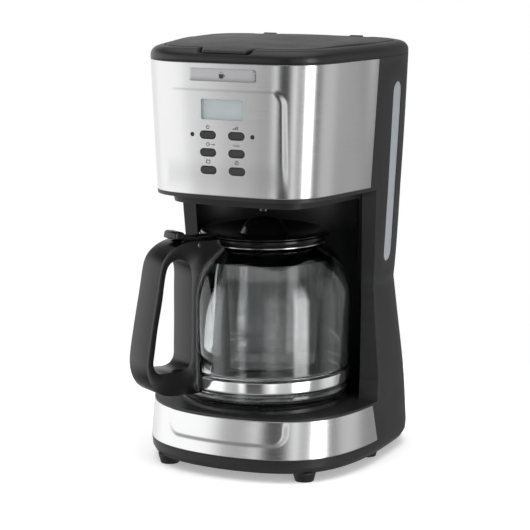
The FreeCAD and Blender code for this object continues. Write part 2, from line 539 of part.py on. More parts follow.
hb2 = hbody
# slot in the top for the lid's thumb tab
slot = Part.Face(Part.makePolygon([rz(r, z, -5.7) for r, z in ((50, 186.2), (79.0, 186.2), (79.0, 183.6), (87.5, 189.0), (87.5, 200), (50, 200), (50, 186.2))])).extrude(T * 11.4)
hb2 = hb2.cut(slot)
PIN_R, PIN_Z = 71.6, 186.2
hb2 = hb2.cut(Part.makeCylinder(1.52, 40.0, rz(PIN_R, PIN_Z, -20.0), T))
hb2 = hb2.cut(Part.Face(Part.makePolygon([rz(64, 181.0, -5.7), rz(79.2, 181.0, -5.7), rz(79.2, 187.0, -5.7), rz(64, 187.0, -5.7), rz(64, 181.0, -5.7)])).extrude(T * 11.4))
node("carafe_handle", one(hb2))
node("carafe_lid_pin", Part.makeCylinder(1.5, 25.6, rz(PIN_R, PIN_Z, -12.8), T))
# neck collar
ring = revolve([(46.5, 182.7), (50.4, 182.7), (52.8, 185.0), (53.2, 188.6), (51.6, 188.6), (51.2, 187.9), (47.8, 187.9), (46.5, 185.0)])
ring = ring.cut(cone_at(9.0, 18.6, 177.0, 189.0, 42.0))
ring = ring.cut(glass)
node("carafe_collar", one(ring))
clasp = Part.makeCylinder(3.4, 3.0, rz(80.0, 73.6, 0), H)
node("handle_screw", Part.makeCylinder(1.7, 7.6, rz(72.4, 73.6, 0), H))
NODES["carafe_handle"] = one(NODES["carafe_handle"].cut(Part.makeCylinder(1.75, 8.0, rz(72.2, 73.6, 0), H)))

# carafe lid with its dome and thumb tab
cl = revolve([(0, 199.3), (5.4, 199.0), (9.6, 197.6), (12.8, 195.2), (15.4, 192.0), (17.4, 188.4), (18.0, 185.9), (21.0, 185.7), (41.4, 188.2), (41.4, 185.6), (43.0, 185.6), (43.2, 188.9),
              (51.9, 188.9), (51.9, 190.2), (46.5, 191.2), (42.5, 190.5), (22.0, 187.8), (20.2, 188.2), (19.0, 190.6), (16.8, 194.2), (14.0, 197.2), (10.6, 199.5), (5.8, 200.9), (0, 201.3)])
cl = cl.cut(cyl(2.2, 190, 210))
arm_pts = [(46.0, 189.2), (62.0, 189.6), (68.4, 184.2), (74.6, 183.2), (78.8, 186.0), (84.6, 190.6), (92.0, 191.6), (91.0, 194.6), (86.6, 197.2), (79.0, 193.6), (70.0, 192.2), (46.0, 191.4)]
arm = Part.Face(Part.makePolygon([rz(r, z, -5.2) for r, z in arm_pts] + [rz(arm_pts[0][0], arm_pts[0][1], -5.2)])).extrude(T * 10.4)
cl = cl.fuse(arm).cut(Part.makeCylinder(1.56, 24.0, rz(PIN_R, PIN_Z, -12), T))
node("carafe_lid", one(cl.removeSplitter()))

ORIGIN_Y = 3.6          # the origin stands this far behind the carafe axis, in the middle of the footprint
for name in list(NODES):
    moved = NODES[name].copy()
    moved.translate(V(0, -ORIGIN_Y, 0))
    NODES[name] = moved
for name, shp in NODES.items():
    shp.exportStep("parts/" + name + ".step")
    bb = shp.BoundBox
    print("%-20s solids=%d valid=%s vol=%9.1f  x[%.1f %.1f] y[%.1f %.1f] z[%.1f %.1f]" % (
        name, len(shp.Solids), shp.isValid(), shp.Volume, bb.XMin, bb.XMax, bb.YMin, bb.YMax, bb.ZMin, bb.ZMax))
print(len(NODES), "nodes")
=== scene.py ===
import bpy
import bmesh
import json
import math
import numpy as np
from mathutils import Matrix, Vector

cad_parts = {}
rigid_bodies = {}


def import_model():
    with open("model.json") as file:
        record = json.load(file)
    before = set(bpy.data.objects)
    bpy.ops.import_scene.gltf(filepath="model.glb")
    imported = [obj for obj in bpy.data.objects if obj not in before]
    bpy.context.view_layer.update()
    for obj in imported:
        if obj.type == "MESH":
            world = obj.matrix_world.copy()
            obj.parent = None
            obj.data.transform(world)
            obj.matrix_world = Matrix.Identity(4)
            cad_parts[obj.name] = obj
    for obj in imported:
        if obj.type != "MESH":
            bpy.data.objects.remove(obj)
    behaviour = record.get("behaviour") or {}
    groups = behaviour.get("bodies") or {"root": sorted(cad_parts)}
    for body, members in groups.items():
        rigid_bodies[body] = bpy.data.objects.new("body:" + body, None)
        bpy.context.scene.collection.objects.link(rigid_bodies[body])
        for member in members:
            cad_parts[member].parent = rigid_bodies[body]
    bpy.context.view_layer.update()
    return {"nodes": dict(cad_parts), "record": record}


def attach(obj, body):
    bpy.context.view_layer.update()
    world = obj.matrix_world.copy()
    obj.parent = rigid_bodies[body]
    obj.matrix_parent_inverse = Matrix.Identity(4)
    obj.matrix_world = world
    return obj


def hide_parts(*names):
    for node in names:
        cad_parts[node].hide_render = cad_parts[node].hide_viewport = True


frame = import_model()
NODES = frame["nodes"]
MM = 0.001
ROOT = "machine"

# =====================================================================================
# camera, floor, light
# =====================================================================================
scene = bpy.context.scene
scene.view_settings.view_transform = "Standard"
scene.view_settings.look = "None"
scene.cycles.use_denoising = True
scene.cycles.max_bounces = 14
scene.cycles.transmission_bounces = 12
scene.cycles.transparent_max_bounces = 12
scene.cycles.glossy_bounces = 6
scene.cycles.caustics_reflective = False

cam_data = bpy.data.cameras.new("camera")
cam = bpy.data.objects.new("camera", cam_data)
scene.collection.objects.link(cam)
ORIGIN_Y = 0.0036
cam.location = (0.6421, -1.3762 - ORIGIN_Y, 0.4493)
aim = Vector((0.0, 0.00526 - ORIGIN_Y, 0.170)) - Vector(cam.location)
cam.rotation_euler = aim.to_track_quat("-Z", "Y").to_euler()
cam_data.sensor_width = 36.0
cam_data.lens = 127.74
cam_data.shift_x = -0.0034
cam_data.shift_y = -0.0234
cam_data.clip_end = 60.0
scene.camera = cam


def link(obj):
    scene.collection.objects.link(obj)
    return obj


def nodes_of(mat):
    mat.use_nodes = True
    t = mat.node_tree
    return t.nodes, t.links


def ramp(nodes, stops, interp="LINEAR"):
    r = nodes.new("ShaderNodeValToRGB")
    cr = r.color_ramp
    cr.interpolation = interp
    while len(cr.elements) > 1:
        cr.elements.remove(cr.elements[-1])
    first = True
    for pos, col in stops:
        e = cr.elements[0] if first else cr.elements.new(pos)
        e.position = pos
        c = col if isinstance(col, (tuple, list)) else (col, col, col)
        e.color = (c[0], c[1], c[2], 1.0)
        first = False
    return r


# a studio surround: broad soft panels at either side and above, darker gaps between them
world = bpy.data.worlds.new("studio")
scene.world = world
world.use_nodes = True
wn, wl = world.node_tree.nodes, world.node_tree.links
for n in list(wn):
    wn.remove(n)
w_out = wn.new("ShaderNodeOutputWorld")
w_bg = wn.new("ShaderNodeBackground")
w_tc = wn.new("ShaderNodeTexCoord")
w_sep = wn.new("ShaderNodeSeparateXYZ")
wl.new(w_tc.outputs["Generated"], w_sep.inputs[0])
w_neg = wn.new("ShaderNodeMath")
w_neg.operation = "MULTIPLY"
w_neg.inputs[1].default_value = -1.0
wl.new(w_sep.outputs["Y"], w_neg.inputs[0])
w_atan = wn.new("ShaderNodeMath")
w_atan.operation = "ARCTAN2"            # heading from the front, positive to the right
wl.new(w_sep.outputs["X"], w_atan.inputs[0])
wl.new(w_neg.outputs[0], w_atan.inputs[1])
w_map = wn.new("ShaderNodeMapRange")
w_map.inputs["From Min"].default_value = -math.pi
w_map.inputs["From Max"].default_value = math.pi
wl.new(w_atan.outputs[0], w_map.inputs["Value"])


def deg(a):
    return (a + 180.0) / 360.0


PEAK = 5.0
HEADINGS = [(deg(a), v / PEAK) for a, v in (
    (-180, 0.25), (-160, 0.40), (-140, 1.05), (-110, 1.2), (-90, 1.45), (-34, 1.45), (-25, 0.60), (-10, 0.42), (-7, 1.15), (-2, 1.15),
    (2, 0.06), (21, 0.08), (28, 0.70), (36, 1.25), (44, 0.62), (62, 0.50), (67, PEAK), (81, PEAK), (87, 0.28), (100, 0.30), (111, 0.72), (127, 0.76), (134, 0.34), (152, 0.34), (170, 0.30), (180, 0.25))]
w_ramp = ramp(wn, HEADINGS)
wl.new(w_map.outputs[0], w_ramp.inputs[0])
w_elev = ramp(wn, [(0.0, 0.30 / PEAK), (0.5, 0.30 / PEAK), (0.60, 0.26 / PEAK), (0.82, 0.22 / PEAK), (0.9, 0.9 / PEAK), (1.0, 1.5 / PEAK)])
w_ez = wn.new("ShaderNodeMapRange")
w_ez.inputs["From Min"].default_value = -1.0
w_ez.inputs["From Max"].default_value = 1.0
wl.new(w_sep.outputs["Z"], w_ez.inputs["Value"])
wl.new(w_ez.outputs[0], w_elev.inputs[0])
w_abs = wn.new("ShaderNodeMath")
w_abs.operation = "ABSOLUTE"
wl.new(w_sep.outputs["Z"], w_abs.inputs[0])
w_fade = wn.new("ShaderNodeMapRange")
w_fade.inputs["From Min"].default_value = 0.20
w_fade.inputs["From Max"].default_value = 0.50
wl.new(w_abs.outputs[0], w_fade.inputs["Value"])
w_mix = wn.new("ShaderNodeMix")
w_mix.data_type = "RGBA"
wl.new(w_fade.outputs[0], w_mix.inputs["Factor"])
wl.new(w_ramp.outputs[0], w_mix.inputs[6])
wl.new(w_elev.outputs[0], w_mix.inputs[7])
wl.new(w_mix.outputs[2], w_bg.inputs["Color"])
w_bg.inputs["Strength"].default_value = PEAK
w_white = wn.new("ShaderNodeBackground")
w_white.inputs["Color"].default_value = (1, 1, 1, 1)
w_white.inputs["Strength"].default_value = 1.0
w_lp = wn.new("ShaderNodeLightPath")
w_ms = wn.new("ShaderNodeMixShader")
wl.new(w_lp.outputs["Is Camera Ray"], w_ms.inputs[0])
wl.new(w_bg.outputs[0], w_ms.inputs[1])
wl.new(w_white.outputs[0], w_ms.inputs[2])
wl.new(w_ms.outputs[0], w_out.inputs["Surface"])


def area(name, loc, target, size, energy, size_y=None):
    d = bpy.data.lights.new(name, "AREA")
    d.shape = "RECTANGLE"
    d.size = size
    d.size_y = size_y or size
    d.energy = energy
    o = link(bpy.data.objects.new(name, d))
    o.location = loc
    o.rotation_euler = (Vector(target) - Vector(loc)).to_track_quat("-Z", "Y").to_euler()
    o.visible_glossy = False
    o.visible_transmission = False
    return o


area("key_top", (0.1, -0.3, 1.7), (0, 0, 0.1), 1.6, 15.0)
area("side_right", (1.7, -0.9, 0.9), (0, 0, 0.18), 1.1, 5.0)
area("side_left", (-1.5, -1.3, 0.8), (0, 0, 0.18), 1.1, 4.0)

# =====================================================================================
# plan outlines of the body, the same outlines the housings are lofted from
# =====================================================================================
T332 = [(0, -77.2), (13.4, -77.1), (26.7, -76.8), (40.1, -76.1), (53.1, -73.4), (64.7, -66.9),
        (73.3, -56.7), (78.5, -44.4), (81.9, -31.5), (85.0, -18.5), (88.0, -5.5), (91.0, 7.5),
        (93.6, 17.3), (95.5, 33.6), (96.1, 45.0)]
T228 = [(0, -75.2), (12.5, -75.1), (25.0, -74.9), (37.4, -74.1), (49.6, -71.6), (60.5, -65.6),
        (68.4, -56.1), (73.3, -44.6), (76.5, -32.5), (79.3, -20.4), (82.2, -8.2), (85.0, 3.9),
        (87.6, 16.0), (90.0, 30.0), (91.1, 45.0)]
T50 = [(0, -78.1), (14, -77.5), (28, -75.7), (41.6, -72.5), (54.7, -67.3), (66.5, -59.8),
       (76.1, -49.5), (83.0, -37.4), (88.0, -24.2), (91.5, -10.6), (93.9, 3.2), (95.2, 17.2),
       (95.7, 31.2), (95.8, 45.0)]
T19 = [(0, -82.1), (14.2, -81.5), (28.4, -79.7), (42.2, -76.4), (55.5, -71.2), (67.4, -63.5),
       (77.1, -53.1), (84.2, -40.8), (89.2, -27.5), (92.8, -13.7), (95.2, 0.3), (96.6, 14.5),
       (97.1, 28.8), (97.3, 45.0)]
REAR = [(0.0, 60), (-0.8, 72), (-3.3, 82), (-8.3, 92), (-16.3, 100), (-28.3, 106), (-46.3, 110)]
SIDE = [(0, 97.3), (19.2, 97.3), (50.3, 95.8), (80, 93.2), (106, 90.1), (123, 88.0), (144, 85.6),
        (166, 87.6), (190, 89.1), (217, 90.5), (251, 92.5), (285, 94.3), (332, 96.3), (350, 96.9)]
UP_Z = [144, 172, 200, 227.7, 262, 297, 332]
LO_Z = [19.2, 34.7, 50.3, 81, 112, 144]


def lin(tab, z):
    return float(np.interp(z, [t[0] for t in tab], [t[1] for t in tab]))


def resample(poly, n):
    p = np.array(poly, float)
    s = np.concatenate([[0], np.cumsum(np.linalg.norm(np.diff(p, axis=0), axis=1))])
    q = np.linspace(0, s[-1], n)
    return np.stack([np.interp(q, s, p[:, 0]), np.interp(q, s, p[:, 1])], 1)


R332, R228, R50, R19 = [resample(t, 15) for t in (T332, T228, T50, T19)]


def half_plan(z):
    s = lin(SIDE, z)
    if z >= 227.7:
        f = R228 + (R332 - R228) * min(1.0, (z - 227.7) / 104.3)
    elif z >= 144:
        f = R228 * [s / lin(SIDE, 227.7), 1.0]
    elif z >= 50.3:
        f = R50 * [s / lin(SIDE, 50.3), 1.0]
    elif z >= 19.2:
        f = R19 + (R50 - R19) * (z - 19.2) / 31.1
    else:
        f = R19
    back = 5.0 * max(0.0, 144.0 - max(z, 19.2)) / 124.8
    r = [(s + dx, y + back * (y - 45) / 68.0) for dx, y in REAR]
    r += [(25.0, 112 + back), (0.0, 113 + back)]
    return np.vstack([f, np.array(r)])


def full_plan(z):
    h = half_plan(z)
    m = h[1:-1][::-1] * [-1, 1]
    return np.vstack([h, m])


def natural_spline(xs, ys, x):
    xs = np.asarray(xs, float)
    ys = np.asarray(ys, float)
    n = len(xs)
    h = np.diff(xs)
    A = np.eye(n)
    B = np.zeros((n, ys.shape[1]))
    for i in range(1, n - 1):
        A[i, i - 1:i + 2] = [h[i - 1], 2 * (h[i - 1] + h[i]), h[i]]
        B[i] = 6 * ((ys[i + 1] - ys[i]) / h[i] - (ys[i] - ys[i - 1]) / h[i - 1])
    M = np.linalg.solve(A, B)
    i = int(np.clip(np.searchsorted(xs, x) - 1, 0, n - 2))
    t0, t1 = xs[i + 1] - x, x - xs[i]
    return (M[i] * t0 ** 3 + M[i + 1] * t1 ** 3) / (6 * h[i]) + (ys[i] / h[i] - M[i] * h[i] / 6) * t0 + (ys[i + 1] / h[i] - M[i + 1] * h[i] / 6) * t1


PL_U = np.array([full_plan(z).ravel() for z in UP_Z])
PL_L = np.array([full_plan(z).ravel() for z in LO_Z])


def control(z):
    if z >= 144:
        v = natural_spline(UP_Z, PL_U, min(z, 332))
    else:
        v = natural_spline(LO_Z, PL_L, max(z, 19.2))
    return v.reshape(-1, 2)


def periodic(P, per=32):
    """closed cubic through the points, chord-length knots, sampled per times a span"""
    n = len(P)
    h = np.linalg.norm(np.roll(P, -1, 0) - P, axis=1)
    A = np.zeros((n, n))
    B = np.zeros((n, 2))
    for i in range(n):
        hp, hi = h[i - 1], h[i]
        A[i, i - 1] += hp
        A[i, i] += 2 * (hp + hi)
        A[i, (i + 1) % n] += hi
        B[i] = 6 * ((P[(i + 1) % n] - P[i]) / hi - (P[i] - P[i - 1]) / hp)
    M = np.linalg.solve(A, B)
    t = np.arange(per) / per
    out = []
    for i in range(n):
        j = (i + 1) % n
        a, b = (1 - t)[:, None] * h[i], t[:, None] * h[i]
        out.append((M[i] * a ** 3 + M[j] * b ** 3) / (6 * h[i]) + (P[i] / h[i] - M[i] * h[i] / 6) * a + (P[j] / h[i] - M[j] * h[i] / 6) * b)
    return np.vstack(out)


def offset(D, inset):
    t = np.roll(D, -1, 0) - np.roll(D, 1, 0)
    t /= np.linalg.norm(t, axis=1)[:, None]
    nrm = np.stack([t[:, 1], -t[:, 0]], 1)      # outward
    inset = np.asarray(inset, float)
    if inset.ndim == 0:
        return D - nrm * inset
    return D - nrm * inset[:, None]


def arclen(D):
    return np.concatenate([[0], np.cumsum(np.linalg.norm(np.diff(np.vstack([D, D[:1]]), axis=0), axis=1))])


def ring(D, n):
    """n points equally spaced along a closed dense curve"""
    s = arclen(D)
    C = np.vstack([D, D[:1]])
    q = np.linspace(0, s[-1], n, endpoint=False)
    return np.stack([np.interp(q, s, C[:, 0]), np.interp(q, s, C[:, 1])], 1)


# =====================================================================================
# mesh helpers
# =====================================================================================
def make(name, verts, faces, mats, body, sharp=38.0, smooth=True, fidx=None):
    me = bpy.data.meshes.new(name)
    me.from_pydata([tuple(v) for v in verts], [], faces)
    me.update()
    ob = link(bpy.data.objects.new(name, me))
    if not isinstance(mats, (list, tuple)):
        mats = [mats]
    for m in mats:
        me.materials.append(m)
    if fidx is not None:
        me.polygons.foreach_set("material_index", fidx)
    finish_mesh(ob, sharp, smooth)
    if body:
        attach(ob, body)
    return ob


def finish_mesh(ob, sharp=38.0, smooth=True):
    me = ob.data
    bm = bmesh.new()
    bm.from_mesh(me)
    bmesh.ops.remove_doubles(bm, verts=bm.verts, dist=1e-7)
    bmesh.ops.dissolve_degenerate(bm, dist=1e-8, edges=bm.edges)
    bmesh.ops.recalc_face_normals(bm, faces=bm.faces)
    bm.to_mesh(me)
    bm.free()
    me.polygons.foreach_set("use_smooth", [smooth] * len(me.polygons))
    if smooth:
        me.set_sharp_from_angle(angle=math.radians(sharp))
    me.update()


def grid(rows, wrap=True):
    """rows: list of (n, 3) arrays in mm. Faces between successive rows."""
    n = len(rows[0])
    v = np.vstack(rows) * MM
    f = []
    m = n if wrap else n - 1
    for k in range(len(rows) - 1):
        for i in range(m):
            j = (i + 1) % n
            f.append((k * n + i, k * n + j, (k + 1) * n + j, (k + 1) * n + i))
    return v, f


def lathe(name, prof, mat, body, seg=144, closed=True, sharp=38.0, cx=0.0, cy=0.0, fidx=None):
    rows = []
    ang = np.linspace(0, 2 * math.pi, seg, endpoint=False)
    pr = list(prof) + ([prof[0]] if closed else [])
    for r, z in pr:
        rows.append(np.stack([cx + r * np.cos(ang), cy + r * np.sin(ang), np.full(seg, z)], 1))
    v, f = grid(rows, True)
    return make(name, v, f, mat, body, sharp)


def soften(prof, rad, closed=True, steps=4):
    """rounds the corners of a profile polyline"""
    p = [np.array(q, float) for q in prof]
    out = []
    n = len(p)
    for i in range(n):
        if not closed and i in (0, n - 1):
            out.append(tuple(p[i]))
            continue
        a, b, c = p[i - 1], p[i], p[(i + 1) % n]
        if b[0] < 1e-6:
            out.append(tuple(b))
            continue
        la, lc = np.linalg.norm(a - b), np.linalg.norm(c - b)
        ua, uc = (a - b) / la, (c - b) / lc
        if abs(ua @ uc + 1) < 0.015:
            out.append(tuple(b))
            continue
        k = min(rad, la * 0.45, lc * 0.45)
        s, e = b + ua * k, b + uc * k
        for t in np.linspace(0, 1, steps + 1):
            q = (1 - t) ** 2 * s + 2 * t * (1 - t) * b + t * t * e
            out.append(tuple(q))
    return out


def prism(name, loops, origin, ux, uy, un, depth, mat, body, bevel=0.0, segs=3, ride=True, sharp=38.0):
    """extrudes a 2D outline (first loop) with holes along un; ux, uy span the outline's plane. mm"""
    bm = bmesh.new()
    O, UX, UY, UN = [Vector(q) for q in (origin, ux, uy, un)]
    edges = []
    for lp in loops:
        vs = [bm.verts.new((O + UX * p[0] + UY * p[1]) * MM) for p in lp]
        for i in range(len(vs)):
            edges.append(bm.edges.new((vs[i], vs[(i + 1) % len(vs)])))
    res = bmesh.ops.triangle_fill(bm, use_beauty=True, use_dissolve=False, edges=edges)
    faces = [g for g in res["geom"] if isinstance(g, bmesh.types.BMFace)]
    ext = bmesh.ops.extrude_face_region(bm, geom=faces)
    nv = [g for g in ext["geom"] if isinstance(g, bmesh.types.BMVert)]
    bmesh.ops.translate(bm, verts=nv, vec=UN * depth * MM)
    bmesh.ops.recalc_face_normals(bm, faces=bm.faces)
    if bevel > 0:
        un_n = UN.normalized()
        rim = []
        for e in bm.edges:
            if len(e.link_faces) == 2:
                d0, d1 = [abs(fc.normal.dot(un_n)) for fc in e.link_faces]
                if (d0 > 0.9) != (d1 > 0.9):
                    rim.append(e)
        bmesh.ops.bevel(bm, geom=rim, offset=bevel * MM, segments=segs, profile=0.5, affect="EDGES", clamp_overlap=True)
    me = bpy.data.meshes.new(name)
    bm.to_mesh(me)
    bm.free()
    ob = link(bpy.data.objects.new(name, me))
    if mat:
        me.materials.append(mat)
    finish_mesh(ob, sharp)
    if body and ride:
        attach(ob, body)
    return ob


def pill_loop(w, h, x=0.0, z=0.0, n=10):
    r = h / 2
    pts = []
    for k in range(n + 1):
        a = -math.pi / 2 + math.pi * k / n
        pts.append((x + w / 2 - r + r * math.cos(a), z + r * math.sin(a)))
    for k in range(n + 1):
        a = math.pi / 2 + math.pi * k / n
        pts.append((x - w / 2 + r + r * math.cos(a), z + r * math.sin(a)))
    return pts


def rrect_loop(x0, x1, z0, z1, r, n=6):
    pts = []
    for cx, cz, a0 in ((x1 - r, z0 + r, -90), (x1 - r, z1 - r, 0), (x0 + r, z1 - r, 90), (x0 + r, z0 + r, 180)):
        for k in range(n + 1):
            a = math.radians(a0 + 90.0 * k / n)
            pts.append((cx + r * math.cos(a), cz + r * math.sin(a)))
    return pts


def circle_loop(r, x=0.0, z=0.0, n=32):
    return [(x + r * math.cos(2 * math.pi * k / n), z + r * math.sin(2 * math.pi * k / n)) for k in range(n)]


def boolean(ob, cutters, mode="DIFFERENCE", sharp=35.0):
    for c in cutters:
        m = ob.modifiers.new("cut", "BOOLEAN")
        m.operation = mode
        m.solver = "EXACT"
        m.object = c
    bpy.context.view_layer.update()
    dg = bpy.context.evaluated_depsgraph_get()
    me = bpy.data.meshes.new_from_object(ob.evaluated_get(dg))
    old = ob.data
    ob.modifiers.clear()
    ob.data = me
    me.name = old.name
    bpy.data.meshes.remove(old)
    for c in cutters:
        cm = c.data
        bpy.data.objects.remove(c)
        bpy.data.meshes.remove(cm)
    finish_mesh(ob, sharp)
    return ob


def smoothstep(a, b, x):
    t = np.clip((x - a) / (b - a), 0.0, 1.0)
    return t * t * (3 - 2 * t)


# =====================================================================================
# materials
# =====================================================================================
def base_material(name):
    m = bpy.data.materials.new(name)
    m.use_nodes = True
    n, l = m.node_tree.nodes, m.node_tree.links
    b = n["Principled BSDF"]
    tc = n.new("ShaderNodeTexCoord")
    return m, n, l, b, tc


def mapping(n, l, tc, scale):
    mp = n.new("ShaderNodeMapping")
    mp.inputs["Scale"].default_value = scale if isinstance(scale, (tuple, list)) else (scale,) * 3
    l.new(tc.outputs["Object"], mp.inputs["Vector"])
    return mp


def noise(n, l, vec, scale, detail=4.0, rough=0.55):
    t = n.new("ShaderNodeTexNoise")
    t.inputs["Scale"].default_value = scale
    t.inputs["Detail"].default_value = detail
    t.inputs["Roughness"].default_value = rough
    l.new(vec, t.inputs["Vector"])
    return t


def map_range(n, l, src, a, b, c, d):
    m = n.new("ShaderNodeMapRange")
    m.inputs["From Min"].default_value = a
    m.inputs["From Max"].default_value = b
    m.inputs["To Min"].default_value = c
    m.inputs["To Max"].default_value = d
    l.new(src, m.inputs["Value"])
    return m


def tint(n, l, src, lo, hi):
    mx = n.new("ShaderNodeMix")
    mx.data_type = "RGBA"
    mx.inputs[6].default_value = (*lo, 1.0)
    mx.inputs[7].default_value = (*hi, 1.0)
    l.new(src, mx.inputs["Factor"])
    return mx


def moulded(name, col, rough, grain=2600.0, bump=0.05, spread=0.06, edge=0.25, spec=0.5, coat=0.0):
    """moulded plastic or rubber: fine cavity grain, patchy sheen, convex edges a little lighter"""
    m, n, l, b, tc = base_material(name)
    mp = mapping(n, l, tc, 1.0)
    fine = noise(n, l, mp.outputs[0], grain, 2.0, 0.6)
    broad = noise(n, l, mp.outputs[0], 26.0, 4.0, 0.5)
    lo = tuple(c * 0.86 for c in col)
    hi = tuple(min(1.0, c * 1.14) for c in col)
    cm = tint(n, l, broad.outputs["Fac"], lo, hi)
    geo = n.new("ShaderNodeNewGeometry")
    convex_edge_mask = ramp(n, [(0.0, 0.0), (0.52, 0.0), (0.60, 1.0)])
    l.new(geo.outputs["Pointiness"], convex_edge_mask.inputs[0])
    amt = n.new("ShaderNodeMath")
    amt.operation = "MULTIPLY"
    amt.inputs[1].default_value = edge
    l.new(convex_edge_mask.outputs[0], amt.inputs[0])
    mx = n.new("ShaderNodeMix")
    mx.data_type = "RGBA"
    mx.inputs[7].default_value = (*[min(1.0, c * 2.2 + 0.02) for c in col], 1.0)
    l.new(amt.outputs[0], mx.inputs["Factor"])
    l.new(cm.outputs[2], mx.inputs[6])
    l.new(mx.outputs[2], b.inputs["Base Color"])
    rr = map_range(n, l, broad.outputs["Fac"], 0.3, 0.7, rough - spread, rough + spread)
    l.new(rr.outputs[0], b.inputs["Roughness"])
    bp = n.new("ShaderNodeBump")
    bp.inputs["Strength"].default_value = bump
    bp.inputs["Distance"].default_value = 0.0002
    l.new(fine.outputs["Fac"], bp.inputs["Height"])
    l.new(bp.outputs[0], b.inputs["Normal"])
    b.inputs["Specular IOR Level"].default_value = spec
    if coat:
        b.inputs["Coat Weight"].default_value = coat
        b.inputs["Coat Roughness"].default_value = 0.08
    return m


def brushed(name, col, rough, streak=(5.0, 5.0, 5200.0), bump=0.12, spread=0.05, aniso=0.55):
    """brushed sheet steel: hairlines along the sheet, faint smears"""
    m, n, l, b, tc = base_material(name)
    mp = mapping(n, l, tc, streak)
    hair = noise(n, l, mp.outputs[0], 1.0, 5.0, 0.7)
    mp2 = mapping(n, l, tc, (9.0, 9.0, 14.0))
    smear = noise(n, l, mp2.outputs[0], 1.0, 3.0, 0.5)
    cm = tint(n, l, hair.outputs["Fac"], tuple(c * 0.90 for c in col), tuple(min(1, c * 1.08) for c in col))
    l.new(cm.outputs[2], b.inputs["Base Color"])
    b.inputs["Metallic"].default_value = 1.0
    add = n.new("ShaderNodeMath")
    add.operation = "ADD"
    r1 = map_range(n, l, hair.outputs["Fac"], 0.3, 0.7, rough - spread, rough + spread)
    r2 = map_range(n, l, smear.outputs["Fac"], 0.3, 0.7, -0.02, 0.03)
    l.new(r1.outputs[0], add.inputs[0])
    l.new(r2.outputs[0], add.inputs[1])
    l.new(add.outputs[0], b.inputs["Roughness"])
    b.inputs["Anisotropic"].default_value = aniso
    tg = n.new("ShaderNodeTangent")
    tg.direction_type = "RADIAL"
    tg.axis = "Z"
    l.new(tg.outputs[0], b.inputs["Tangent"])
    bp = n.new("ShaderNodeBump")
    bp.inputs["Strength"].default_value = bump
    bp.inputs["Distance"].default_value = 0.0001
    l.new(hair.outputs["Fac"], bp.inputs["Height"])
    l.new(bp.outputs[0], b.inputs["Normal"])
    return m


def clear(name, col, rough=0.02, ior=1.47, coat=1.0, coat_ior=2.4, trans=1.0, alpha=1.0):
    """glass: faint thickness waves, very light smears"""
    m, n, l, b, tc = base_material(name)
    mp = mapping(n, l, tc, 1.0)
    wave = noise(n, l, mp.outputs[0], 22.0, 2.0, 0.4)
    sm = noise(n, l, mp.outputs[0], 60.0, 4.0, 0.6)
    cm = tint(n, l, sm.outputs["Fac"], tuple(c * 0.985 for c in col), col)
    l.new(cm.outputs[2], b.inputs["Base Color"])
    rr = map_range(n, l, sm.outputs["Fac"], 0.45, 0.75, rough, rough + 0.03)
    l.new(rr.outputs[0], b.inputs["Roughness"])
    b.inputs["Transmission Weight"].default_value = trans
    b.inputs["IOR"].default_value = ior
    b.inputs["Coat Weight"].default_value = coat
    b.inputs["Coat IOR"].default_value = coat_ior
    b.inputs["Coat Roughness"].default_value = 0.015
    b.inputs["Alpha"].default_value = alpha
    bp = n.new("ShaderNodeBump")
    bp.inputs["Strength"].default_value = 0.06
    bp.inputs["Distance"].default_value = 0.001
    l.new(wave.outputs["Fac"], bp.inputs["Height"])
    l.new(bp.outputs[0], b.inputs["Normal"])
    return m


MAT = {}
MAT["black_satin"] = moulded("black_satin", (0.009, 0.009, 0.010), 0.40, bump=0.10)
MAT["black_gloss"] = moulded("black_gloss", (0.003, 0.003, 0.0035), 0.15, grain=900.0, bump=0.02, spread=0.04, edge=0.15)
MAT["collar_black"] = moulded("collar_black", (0.007, 0.007, 0.008), 0.34, bump=0.08)
MAT["lid_black"] = moulded("lid_black", (0.016, 0.016, 0.017), 0.40, grain=3400.0, bump=0.16)
MAT["stainless"] = brushed("stainless", (0.62, 0.62, 0.625), 0.165)
MAT["stainless_base"] = brushed("stainless_base", (0.68, 0.68, 0.685), 0.175)
MAT["chrome_band"] = brushed("chrome_band", (0.95, 0.95, 0.96), 0.12, bump=0.03, spread=0.03, aniso=0.2)
MAT["plate_steel"] = brushed("plate_steel", (0.50, 0.50, 0.51), 0.24, bump=0.08)
MAT["plate_coat"] = moulded("plate_coat", (0.005, 0.005, 0.006), 0.26, grain=1800.0, bump=0.08)
MAT["seal_rubber"] = moulded("seal_rubber", (0.006, 0.006, 0.006), 0.30, grain=1500.0, bump=0.06, edge=0.1)
MAT["foot_rubber"] = moulded("foot_rubber", (0.007, 0.007, 0.007), 0.50, grain=1500.0, bump=0.10, edge=0.1)
MAT["clear_glass"] = clear("clear_glass", (0.93, 0.945, 0.945), coat=0.25, coat_ior=1.5)
MAT["window_clear"] = clear("window_clear", (0.46, 0.49, 0.53), rough=0.30, coat=0.5, coat_ior=1.5, trans=0.25)
MAT["tank_plastic"] = clear("tank_plastic", (0.55, 0.58, 0.60), rough=0.25, coat=0.2, coat_ior=1.5, trans=0.6)
MAT["lens_clear"] = clear("lens_clear", (0.93, 0.96, 0.97), rough=0.03, coat=0.3, coat_ior=1.5)
MAT["lcd_grey"] = moulded("lcd_grey", (0.93, 1.0, 1.0), 0.42, grain=5200.0, bump=0.02, spread=0.03, edge=0.0)
# painted light: the LCD glows faintly to stand in for the light its clear cover keeps off it
lcd_painted_glow_bsdf = next(x for x in MAT["lcd_grey"].node_tree.nodes if x.type == "BSDF_PRINCIPLED")
lcd_painted_glow_bsdf.inputs["Emission Color"].default_value = (0.86, 0.97, 1.0, 1.0)
lcd_painted_glow_bsdf.inputs["Emission Strength"].default_value = 0.16
MAT["button_grey"] = moulded("button_grey", (0.030, 0.030, 0.032), 0.50, grain=3600.0, bump=0.18)
